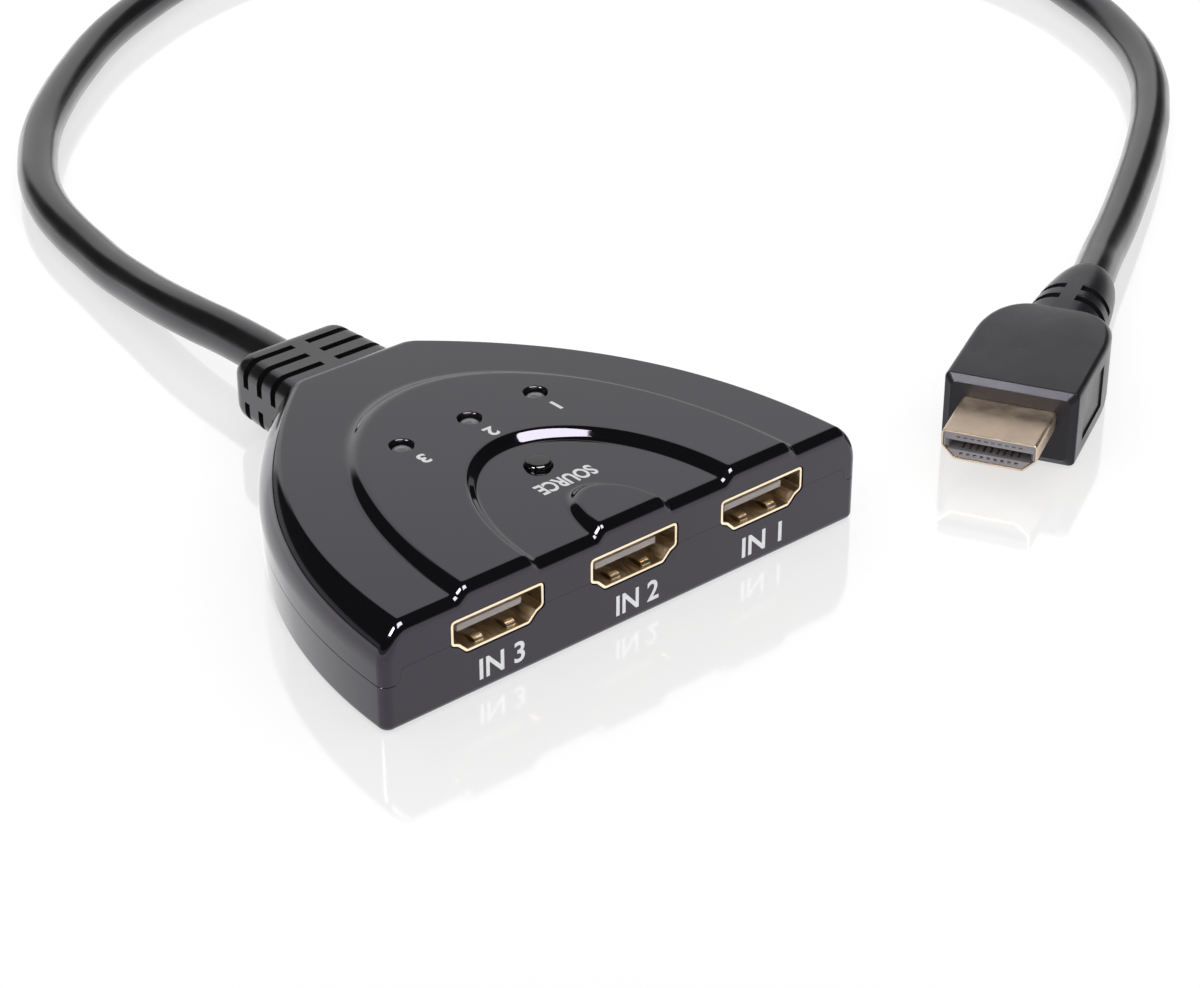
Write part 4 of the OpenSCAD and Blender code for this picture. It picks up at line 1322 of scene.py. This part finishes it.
@dataclass
class CaseForm:
    """Outside form that the two covers share."""

    width: float = 82.4
    depth: float = 62.0
    rear_width: float = 25.6
    low: float = 15.1
    step: float = 1.2
    wall: float = 1.6
    lean: float = 1.2
    belly: float = 9.2
    bulge: float = 0.4
    draft: float = 0.1
    facet: float = 3.4
    facet_power: float = 0.83
    shoulder: float = 0.6
    shoulder_share: float = 0.3
    shoulder_turn: float = 40.0
    turn_slack: float = 1e-6
    front_round: float = 1.6
    rear_round: float = 2.4
    base_round: float = 1.0
    front_corner: float = 1.5
    least_corner: float = 0.12
    rear_corner: float = 3.0
    seam: float = 6.7
    lip: float = 2.1
    lip_round: float = 0.9
    lip_inset: float = 0.1
    flank_steps: int = 44
    corner_steps: int = 8
    rear_steps: int = 8

    @property
    def front(self) -> float:
        """Place of the socket face along Y."""
        return -self.depth / 2

    @property
    def high(self) -> float:
        """Height of the raised tiers."""
        return self.low + self.step

    @property
    def roof(self) -> float:
        """Height of the inside."""
        return self.low - self.wall

    def outline(self, side: float, front: float, rear: float, bulge: float = 0.0) -> Outline:
        """Plan outline, drawn in at its sides, front and rear.

        Args:
            side: Distance that the curved sides are drawn in.
            front: Distance that the socket face is drawn in.
            rear: Distance that the cable end is drawn in.
            bulge: Distance that the middle of a side stands out.

        Returns:
            Points from the right end of the socket face round to its left end.
        """
        half = self.width / 2
        taper = half - self.rear_width / 2
        radius = (self.depth ** 2 + taper ** 2) / (2 * taper)
        cx, cy = half - radius, self.front
        r = radius - side
        corner = max(self.front_corner - front, self.least_corner)
        fy = self.front + front + corner
        ry = -self.front - rear - self.rear_corner
        fx = cx + math.sqrt((r - corner) ** 2 - (fy - cy) ** 2)
        rx = cx + math.sqrt((r - self.rear_corner) ** 2 - (ry - cy) ** 2)
        a = math.atan2(fy - cy, fx - cx)
        b = math.atan2(ry - cy, rx - cx)
        quarter = math.pi / 2
        line = arc((fx, fy), corner, -quarter, a, self.corner_steps)
        for k in range(1, self.flank_steps):
            share = k / self.flank_steps
            t, out = a + (b - a) * share, r + bulge * math.sin(math.pi * share) ** 2
            line.append((cx + out * math.cos(t), cy + out * math.sin(t)))
        line += arc((rx, ry), self.rear_corner, b, quarter, self.corner_steps)
        rear_y = line[-1][1]
        middle = [(rx * (1 - 2 * k / self.rear_steps), rear_y) for k in range(1, self.rear_steps)]
        return line + middle + [(-x, y) for x, y in reversed(line)]

    def drawn_in(self, z: float, top: float) -> float:
        """How far a rounded edge has drawn a wall in at a height, given the top edge's radius."""
        base = self.base_round
        inset = base - math.sqrt(max(0.0, base ** 2 - (base - z) ** 2)) if z < base else 0.0
        rise = z - self.low + top
        return inset + (top - math.sqrt(max(0.0, top ** 2 - rise ** 2)) if rise > 0 else 0.0)

    def side_in(self, z: float) -> float:
        """How far the flank is drawn in at a height, from its upright foot to the facet under the top."""
        if z <= self.belly:
            return self.draft + self.drawn_in(z, self.rear_round)
        drop = self.low - z
        turn = math.acos(max(1 - drop / self.shoulder, math.cos(math.radians(self.shoulder_turn))))
        if turn < math.radians(self.shoulder_turn) - self.turn_slack:
            return self.draft + self.facet + self.shoulder * (self.shoulder_share - math.sin(turn))
        q = 1 - drop / (self.low - self.belly)
        return self.draft + self.facet * (1 - (1 - q * q) ** self.facet_power)

    def ring(self, z: float, extra: float = 0.0) -> Ring:
        """Outside of the housing at a height, drawn in a little more by extra."""
        front = self.drawn_in(z, self.front_round) + extra
        rear = self.drawn_in(z, self.rear_round) + extra
        bulge = self.bulge * min(z / self.belly, 1.0)
        return along_z(self.outline(self.side_in(z) + extra, front, rear, bulge), z)

    def inside(self, z: float) -> Ring:
        """Inside of the covers' walls at a height."""
        return along_z(self.outline(self.lean + self.wall, self.wall, self.wall), z)

    def lip_profile(self, grow: float) -> Outline:
        """Front view of the lower cover's lip along the socket face."""
        top = self.seam + self.lip + grow
        foot = self.width / 2 - self.lean - self.front_corner - self.lip_inset + grow
        r, steps = self.lip_round, self.corner_steps
        half = [(foot + r, self.seam - OVERCUT)]
        half += arc((foot + r, self.seam + r), r, -math.pi / 2, -math.pi, steps)
        half += arc((foot - r, top - r), r, 0.0, math.pi / 2, steps)
        return both_sides(half)


@dataclass
class SocketForm:
    """Mouth of a socket, shared by the windows and the shells."""

    places: tuple[float, ...] = (22.86, 0.0, -22.86)
    width: float = 15.0
    height: float = 5.3
    flat: float = 10.2
    ledge: Pair = (12.8, 1.3)
    side: float = 1.75
    level: float = 6.8
    depth: float = 11.0
    mouth: float = -30.9
    sheet: float = 0.4
    corner: float = 0.75
    least_corner: float = 0.15
    window_gap: float = 0.13

    def outline(self, place: float, grow: float) -> Outline:
        """Mouth at a place along X: wide above, stepped in at both lower corners."""
        half = [
            (self.flat / 2, 0.0), (self.ledge[0] / 2, self.ledge[1]),
            (self.width / 2, self.side), (self.width / 2, self.height),
        ]
        shape = softened(grown(both_sides(half), grow), max(self.corner + grow, self.least_corner))
        return [(x + place, z + self.level) for x, z in shape]


@dataclass(frozen=True)
class TopLayout:
    """Places on the top that the cover's holes share with what stands in them."""

    light_places: tuple[float, ...] = (11.7, 0.0, -11.7)
    light_y: float = 3.1
    key_y: float = -11.5


@dataclass(frozen=True)
class Tier:
    """Edge of one tier of the stepped top: half an ellipse on the socket face, with a ramp."""

    half: float
    reach: float
    ramp: float


@dataclass
class Housing:
    """The two covers and their screws."""

    form: CaseForm
    sockets: SocketForm
    layout: TopLayout
    moon: Tier = Tier(5.8, 10.4, 1.7)
    inner: Tier = Tier(16.8, 26.4, 2.05)
    shoe: Tier = Tier(28.4, 47.8, 2.1)
    bend: float = 0.34
    bend_steps: int = 5
    bend_margin: float = 0.03
    flat_margin: float = 0.3
    rear_bend: float = 0.46
    rear_ease: float = 0.8
    rear_power: int = 6
    outer_shares: tuple[float, ...] = (0.35, 0.7, 0.92, 1.0)
    rim_drops: tuple[float, ...] = (
        0.008, 0.032, 0.074, 0.136, 0.24, 0.38, 0.56, 0.78, 1.02, 1.3,
        1.6, 1.9, 2.2, 2.6, 3.0, 3.4, 3.8, 4.3, 4.8, 5.3,
    )
    rise_end: float = 5.0
    rise_run: float = 3.3
    seam_gap: float = 0.02
    upper_edge: tuple[Pair, ...] = ((0.3, 0.0), (0.04, 0.01), (0.0, 0.04))
    lower_edge: tuple[Pair, ...] = ((0.3, 0.0), (0.05, 0.01), (0.01, 0.04))
    base_steps: int = 6
    lip_gap: float = 0.03
    lip_over: float = 0.2
    light_hole: float = 3.3
    light_flare: float = 0.3
    flare_steps: int = 6
    key_hole: float = 4.0
    key_edge: tuple[Pair, ...] = ((0.0, -0.12), (0.04, -0.03), (0.13, 0.01))
    hole_steps: int = 64
    posts: tuple[Pair, ...] = ((31.0, -14.0), (14.0, 18.0), (-31.0, -14.0), (-14.0, 18.0))
    post_radius: float = 2.7
    post_steps: int = 32
    pilot: float = 1.04
    upper_post: Pair = (6.8, 14.0)
    clearance: float = 1.2
    lower_post: Pair = (1.0, 5.6)
    recess: Pair = (2.0, 2.0)
    recess_top: float = 4.0
    recess_steps: int = 40
    screw_edge: float = 0.08
    passage: Pair = (12.2, 8.6)
    passage_depth: float = 3.0
    passage_level: float = CABLE_LEVEL
    crease: float = 28.0

    def crown_ray(self, end: Vector) -> list[Vector]:
        """Points of the stepped top on one ray.

        Args:
            end: Where the ray meets the rounding of the top edge.

        Returns:
            Points from the middle of the half-moon outwards.
        """
        form = self.form
        high, low = form.high, form.low
        start = Vector((0.0, form.front + form.front_round, high))
        way = Vector((end.x - start.x, end.y - start.y, 0.0)).normalized()
        points = [start]
        for tier, z_in, z_out in ((self.moon, high, low), (self.inner, low, high), (self.shoe, high, low)):
            rear = max(way.y, 0.0) ** self.rear_power if z_in > z_out else 0.0
            bend = self.bend + (self.rear_bend - self.bend) * rear
            ramp = tier.ramp * (1 + self.rear_ease * rear)
            ends = [bend * k / self.bend_steps for k in range(self.bend_steps + 1)]
            ends.append(bend + self.bend_margin)
            margin = self.flat_margin / ramp
            for q in (-margin, *ends, *[1 - q for q in reversed(ends)], 1 + margin):
                off = ramp * (q - 0.5)
                z = z_in + (z_out - z_in) * self.ramp_share(min(max(q, 0.0), 1.0), bend)
                s = self.ray_to_ellipse(way, tier.half + off, tier.reach + off)
                points.append(Vector((start.x + way.x * s, start.y + way.y * s, z)))
        last = points[-1].copy()
        for share in self.outer_shares:
            points.append(last.lerp(Vector((end.x, end.y, low)), share))
        return points

    def ramp_share(self, q: float, bend: float) -> float:
        """Finds how much of a step is passed at a place across its ramp.

        Args:
            q: Place across the ramp, from 0 to 1.
            bend: Share of the ramp's width that each rounded end takes.

        Returns:
            Share of the step, from 0 to 1.
        """
        slope = 1 / (1 - bend)
        if q < bend:
            return slope * q * q / (2 * bend)
        if q > 1 - bend:
            return 1 - slope * (1 - q) ** 2 / (2 * bend)
        return slope * (q - bend / 2)

    def ray_to_ellipse(self, way: Vector, a: float, b: float) -> float:
        """Distance along a ray from the half-moon's middle to an ellipse on the socket face."""
        off = self.form.front_round
        p = (way.x / a) ** 2 + (way.y / b) ** 2
        q = off * way.y / b ** 2
        r = (off / b) ** 2 - 1.0
        return (-q + math.sqrt(q * q - p * r)) / p

    def rim_levels(self) -> list[Triple]:
        """Height, extra inset and share of a tier's rise, from the top edge to the seam."""
        form = self.form
        levels = [
            (form.low - drop, 0.0, min(max((self.rise_end - drop) / self.rise_run, 0.0), 1.0))
            for drop in self.rim_drops
        ]
        foot = form.seam + self.seam_gap
        seam = [(foot + rise, extra, 0.0) for rise, extra in self.upper_edge]
        return [*levels, (form.belly, 0.0, 0.0), *seam]

    def top_shell(self) -> bmesh.types.BMesh:
        """Makes the upper cover's skin: stepped top, rounded edges, walls and inside."""
        form = self.form
        levels = self.rim_levels()
        foot = levels[-1][0]
        rays = [self.crown_ray(end) for end in form.ring(form.low)]
        rings = [form.ring(z, extra) for z, extra, _ in levels] + [form.inside(foot), form.inside(form.roof)]
        inner_count = len(rays[0])
        bm = bmesh.new()

        def crown(i: int, j: int) -> Vector:
            """Point of ray i at level j."""
            return rays[i][j] if j < inner_count else rings[j - inner_count][i]

        surface_grid(bm, len(rays), inner_count + len(rings), crown)
        border = list(reversed(rays[0])) + rays[-1][1:]
        last = len(border) - 1

        def face(i: int, j: int) -> Vector:
            """Point of the socket face in column i and row j."""
            top = border[i]
            if j == 0:
                return top
            ring = rings[j - 1]
            if i in (0, last):
                return ring[0] if i == 0 else ring[-1]
            if j <= len(levels):
                z, extra, rise = levels[j - 1]
                lift = (top.z - form.low) * rise
                return Vector((top.x, form.front + form.drawn_in(z, form.front_round) + extra, z + lift))
            share = ring[0].x / rays[0][-1].x
            return Vector((top.x * min(share, 1.0), ring[0].y, ring[0].z))

        surface_grid(bm, len(border), len(rings) + 1, face)
        bmesh.ops.remove_doubles(bm, verts=bm.verts, dist=MERGE)
        bmesh.ops.holes_fill(bm, edges=[e for e in bm.edges if e.is_boundary], sides=0)
        bmesh.ops.recalc_face_normals(bm, faces=bm.faces)
        return bm

    def windows(self) -> bmesh.types.BMesh:
        """Makes the solids that cut the socket windows and the cable's passage."""
        bm = bmesh.new()
        front, level = self.form.front, self.passage_level
        for place in self.sockets.places:
            shape = self.sockets.outline(place, self.sockets.window_gap)
            loft(bm, [along_y(shape, y) for y in (front - OVERCUT, front + self.form.wall + OVERCUT)])
        w, h = self.passage[0] / 2, self.passage[1] / 2
        block(bm, (-w, -front - self.passage_depth, level - h), (w, -front + OVERCUT, level + h))
        return bm

    def top_holes(self) -> bmesh.types.BMesh:
        """Makes the solids that cut the flared light holes and the key's hole."""
        bm = bmesh.new()
        form, layout = self.form, self.layout
        under, over = form.roof - OVERCUT, form.high + OVERCUT
        r, wide = self.light_hole / 2, self.light_flare
        flare = [
            (r + wide * (1 - math.cos(t)), form.high - wide + wide * math.sin(t))
            for t in quarter_turn(self.flare_steps)
        ]
        profile = [(0.0, under), (r, under), *flare, (flare[-1][0], over), (0.0, over)]
        for x in layout.light_places:
            lathe(bm, profile, (x, layout.light_y), self.hole_steps)
        r, over = self.key_hole / 2, form.low + OVERCUT
        edge = [(r + out, form.low + rise) for out, rise in self.key_edge]
        profile = [(0.0, under), (r, under), *edge, (edge[-1][0], over), (0.0, over)]
        lathe(bm, profile, (0.0, layout.key_y), self.hole_steps)
        return bm

    def add_posts(self, piece: Workpiece, bore: float, span: Pair) -> None:
        """Adds the tubular screw posts to a cover.

        Args:
            piece: The cover.
            bore: Radius of the posts' bore.
            span: Heights of their two ends.
        """
        (low, high), wide = span, self.post_radius
        profile = [(bore, low), (wide, low), (wide, high), (bore, high), (bore, low)]
        bm = bmesh.new()
        bm.from_mesh(piece.obj.data)
        for x, y in self.posts:
            lathe(bm, profile, (x, y), self.post_steps)
        bm.to_mesh(piece.obj.data)
        bm.free()

    def top_cover(self) -> bpy.types.Object:
        """Makes the upper cover with its openings and screw posts."""
        form = self.form
        piece = Workpiece("upper_cover", self.top_shell())
        lip = bmesh.new()
        ends = (form.front - OVERCUT, form.front + form.wall + self.lip_over)
        loft(lip, [along_y(form.lip_profile(self.lip_gap), y) for y in ends])
        piece.carve(lip).carve(self.windows()).carve(self.top_holes())
        self.add_posts(piece, self.pilot, self.upper_post)
        return piece.dress(CASE_BLACK, Slot.HOUSING, ("top_cover",), crease=self.crease)

    def bottom_cover(self) -> bpy.types.Object:
        """Makes the lower cover with its lip, windows and screw recesses."""
        form = self.form
        bm = bmesh.new()
        heights = [(form.base_round * (1 - math.cos(t)), 0.0) for t in quarter_turn(self.base_steps)]
        heights += [(form.seam - drop, extra) for drop, extra in self.lower_edge]
        loft(bm, [form.ring(z, extra) for z, extra in heights])
        piece = Workpiece("lower_cover", bm)
        lip = bmesh.new()
        loft(lip, [along_y(form.lip_profile(0.0), y) for y in (form.front, form.front + form.wall)])
        piece.carve(lip, Carve.JOIN)
        inside = bmesh.new()
        loft(inside, [form.inside(z) for z in (form.wall, form.roof)])
        piece.carve(inside).carve(self.windows())
        (head, deep), bore, top = self.recess, self.clearance, self.recess_top
        profile = [(0.0, -OVERCUT), (head, -OVERCUT), (head, deep), (bore, deep), (bore, top), (0.0, top)]
        bm = bmesh.new()
        for x, y in self.posts:
            lathe(bm, profile, (x, y), self.recess_steps)
        piece.carve(bm)
        self.add_posts(piece, self.clearance, self.lower_post)
        return piece.dress(CASE_BLACK, Slot.HOUSING, ("bottom_cover",), crease=self.crease)

    def screws(self) -> bpy.types.Object:
        """Makes the screws from their node, with eased edges."""
        piece = Workpiece.from_node("pan_head_screws", "case_screws").ease(self.screw_edge, angle=SHARP_EDGE)
        return piece.dress(TIN_PLATE, Slot.STEEL, ("case_screws",))

    def build(self) -> None:
        """Makes the covers and the screws."""
        self.top_cover()
        self.bottom_cover()
        self.screws()


@dataclass
class SocketRow:
    """The three input sockets."""

    form: SocketForm
    spring_x: float = 2.6
    spring_width: float = 1.4
    spring_path: tuple[Pair, ...] = (
        (0.6, 0.0), (0.75, 0.3), (1.1, 0.55), (1.6, 0.62), (2.4, 0.48), (3.6, 0.1), (4.1, 0.0),
    )
    spring_sheet: float = 0.22
    roll: tuple[Pair, ...] = ((0.08, 0.0), (0.02, 0.02), (0.0, 0.07))
    leg_rows: tuple[float, ...] = (2.9, 8.4)
    leg_width: float = 1.6
    leg_span: Pair = (5.0, 9.3)

    def shell(self, number: int, place: float) -> bpy.types.Object:
        """Makes one plated shell with its rolled mouth, springs and legs.

        Args:
            number: Number of the input.
            place: Place of the socket along X.

        Returns:
            The finished shell.
        """
        form = self.form
        front, t = form.mouth, form.sheet
        walls = rolled_sheet(front, front + form.depth, t, self.roll)
        bm = bmesh.new()
        loft(bm, [along_y(form.outline(place, grow), y) for y, grow in walls], wrap=True)
        floor, under = form.level + t, -self.spring_sheet
        strip = ((-1, under), (1, under), (1, 0.0), (-1, 0.0))
        low, high = self.leg_span
        for side in (-1, 1):
            x = place + side * self.spring_x
            loft(bm, [
                [Vector((x + s * self.spring_width / 2, front + y, floor + z + lift)) for s, lift in strip]
                for y, z in self.spring_path
            ])
            x = place + side * (form.width - t) / 2
            for row in self.leg_rows:
                y, w = front + row, self.leg_width / 2
                block(bm, (x - t / 2, y - w, low), (x + t / 2, y + w, high))
        piece = Workpiece(f"input_{number}_plated_shell", bm)
        return piece.dress(GOLD_PLATE, Slot.GOLD, (f"input_{number}_shell",))

    def build(self) -> None:
        """Makes the shells and dresses the tongues and contacts."""
        for number, place in enumerate(self.form.places, start=1):
            self.shell(number, place)
            paint([f"input_{number}_insulator"], GREY_RESIN)
            paint([f"input_{number}_contacts"], GOLD_PLATE)


@dataclass
class IndicatorLights:
    """Three clear lights under their flared holes."""

    layout: TopLayout
    tip: float = 16.0
    length: float = 5.6
    radius: float = 1.5
    rise: float = 0.8
    dome_steps: int = 10
    rim: float = 1.9
    rim_height: float = 1.0
    rim_ease: float = 0.1
    lens_steps: int = 48
    cup: tuple[Pair, ...] = (
        (0.0, -1.6), (0.3, -1.6), (0.3, -0.7), (0.75, 0.0), (0.66, 0.02), (0.3, -0.35), (0.0, -0.35),
    )
    cup_drop: float = 2.2
    cup_shift: float = -0.25
    cup_steps: int = 24
    post_low: Triple = (0.75, -0.2, -1.6)
    post_high: Triple = (1.05, 0.2, 0.1)

    def lens(self, number: int, place: float) -> bpy.types.Object:
        """Makes one domed lens."""
        base = self.tip - self.length
        shelf, ease = base + self.rim_height, self.rim_ease
        dome = [
            (self.radius * math.cos(t), self.tip - self.rise * (1 - math.sin(t)))
            for t in quarter_turn(self.dome_steps)
        ]
        profile = [
            (0.0, base), (self.rim, base), (self.rim, shelf - ease), (self.rim - ease, shelf),
            (self.radius, shelf), *dome[:-1], (0.0, self.tip),
        ]
        bm = bmesh.new()
        lathe(bm, profile, (place, self.layout.light_y), self.lens_steps)
        return Workpiece(f"light_{number}_lens", bm).dress(CLEAR_RESIN, Slot.LENS, (f"led_{number}",))

    def anvil(self, number: int, place: float) -> bpy.types.Object:
        """Makes the reflector cup and bond post inside one lens."""
        middle = Vector((place, self.layout.light_y, self.tip - self.cup_drop))
        bm = bmesh.new()
        cup = [(r, middle.z + z) for r, z in self.cup]
        lathe(bm, cup, (place + self.cup_shift, middle.y), self.cup_steps)
        block(bm, middle + Vector(self.post_low), middle + Vector(self.post_high))
        return Workpiece(f"light_{number}_anvil", bm).dress(TIN_PLATE, Slot.STEEL)

    def build(self) -> None:
        """Makes the lenses and what shows inside them."""
        for number, place in enumerate(self.layout.light_places, start=1):
            self.lens(number, place)
            self.anvil(number, place)
        paint(["led_leads"], TIN_PLATE)


@dataclass
class SelectKey:
    """Round-edged key and the push switch under it."""

    layout: TopLayout
    radius: float = 1.9
    top: float = 15.88
    edge: float = 0.55
    edge_steps: int = 10
    turn_steps: int = 64
    flange: float = 2.85
    flange_span: Pair = (12.5, 13.4)
    stem: float = 1.5
    foot: float = 11.3

    def cap(self) -> bpy.types.Object:
        """Makes the key by turning its profile."""
        low, high = self.flange_span
        corner = (self.radius - self.edge, self.top - self.edge)
        profile = [
            (0.0, self.foot), (self.stem, self.foot), (self.stem, low), (self.flange, low), (self.flange, high),
            (self.radius, high), *arc(corner, self.edge, 0.0, math.pi / 2, self.edge_steps), (0.0, self.top),
        ]
        bm = bmesh.new()
        lathe(bm, profile, (0.0, self.layout.key_y), self.turn_steps)
        piece = Workpiece("select_key_cap", bm)
        return piece.dress(KEY_BLACK, Slot.KEY, ("select_button",), Body.KEY)

    def build(self) -> None:
        """Makes the key and dresses the push switch."""
        self.cap()
        paint(["tact_switch_plunger"], KEY_BLACK)
        paint(["tact_switch_body"], CHIP_BLACK)
        paint(["tact_switch_cover", "tact_switch_dome", "tact_switch_terminals"], TIN_PLATE)


@dataclass(frozen=True)
class Label:
    """One printed word or number."""

    text: str
    place: Triple
    height: float
    width: float
    upright: bool


@dataclass
class Lettering:
    """Plain printed numbers and words."""

    labels: tuple[Label, ...] = (
        Label("IN 1", (23.3, -31.0, 1.95), 3.0, 7.4, True),
        Label("IN 2", (0.4, -31.0, 1.95), 3.0, 7.4, True),
        Label("IN 3", (-22.4, -31.0, 1.95), 3.0, 7.4, True),
        Label("1", (11.4, -0.6, 16.3), 2.4, 0.0, False),
        Label("2", (-0.1, -0.6, 16.3), 2.4, 0.0, False),
        Label("3", (-11.7, -0.6, 16.3), 2.4, 0.0, False),
        Label("SOURCE", (0.3, -15.7, 15.1), 2.6, 9.6, False),
    )
    proud: float = 0.012
    thickness: float = 0.002
    upright_weight: float = 0.018
    flat_weight: float = 0.03
    curve_steps: int = 4

    def print_label(self, label: Label) -> bpy.types.Object:
        """Makes one label as a thin mesh on its surface."""
        data = bpy.data.curves.new("label", "FONT")
        data.body = label.text
        data.align_x = "CENTER"
        data.size = 1.0
        data.extrude = self.thickness
        data.offset = self.upright_weight if label.upright else self.flat_weight
        data.resolution_u = self.curve_steps
        source = bpy.data.objects.new("label", data)
        bpy.context.scene.collection.objects.link(source)
        graph = bpy.context.evaluated_depsgraph_get()
        graph.update()
        mesh = bpy.data.meshes.new_from_object(source.evaluated_get(graph))
        bpy.data.objects.remove(source)
        bm = bmesh.new()
        bm.from_mesh(mesh)
        tall = max(v.co.y for v in bm.verts)
        wide = max(v.co.x for v in bm.verts) - min(v.co.x for v in bm.verts)
        rise = label.height / tall
        spread = label.width / wide if label.width else rise
        bmesh.ops.scale(bm, vec=(spread, rise, rise), verts=bm.verts)
        turn = Matrix.Rotation(math.pi / 2, 4, "X") if label.upright else Matrix.Rotation(math.pi, 4, "Z")
        out = Vector((0.0, -self.proud, 0.0)) if label.upright else Vector((0.0, 0.0, self.proud))
        bmesh.ops.transform(bm, matrix=Matrix.Translation(Vector(label.place) + out) @ turn, verts=bm.verts)
        name = "label_" + label.text.lower().replace(" ", "_")
        return Workpiece(name, bm).dress(PRINT_INK, Slot.HOUSING)

    def build(self) -> None:
        """Prints every label."""
        for label in self.labels:
            self.print_label(label)


class Electronics:
    """Board and parts inside the housing, which keep their nodes' shapes."""

    def build(self) -> None:
        """Dresses the nodes of the board and the cable's end."""
        paint(["circuit_board"], BOARD_MASK)
        paint(["switch_chip", "voltage_regulator", "chip_resistors"], CHIP_BLACK)
        paint(["switch_chip_leads"], TIN_PLATE)
        paint(["chip_capacitors"], CERAMIC_TAN)
        paint(["cable_wires"], WIRE_COLOURS)
        paint(["cable_entry"], JACKET_BLACK)


def main() -> None:
    """Builds the scene in order and reports each piece."""
    logging.basicConfig(level=logging.INFO, format="%(message)s")
    bpy.context.scene.view_settings.view_transform = "Standard"
    Viewpoint().build()
    lead = Lead()
    cable = lead.build()
    relief = StrainRelief().build()
    plug = Plug().build()
    sockets, layout = SocketForm(), TopLayout()
    Housing(CaseForm(), sockets, layout).build()
    SocketRow(sockets).build()
    IndicatorLights(layout).build()
    SelectKey(layout).build()
    Lettering().build()
    Electronics().build()
    Studio().build()


if __name__ == "__main__":
    main()
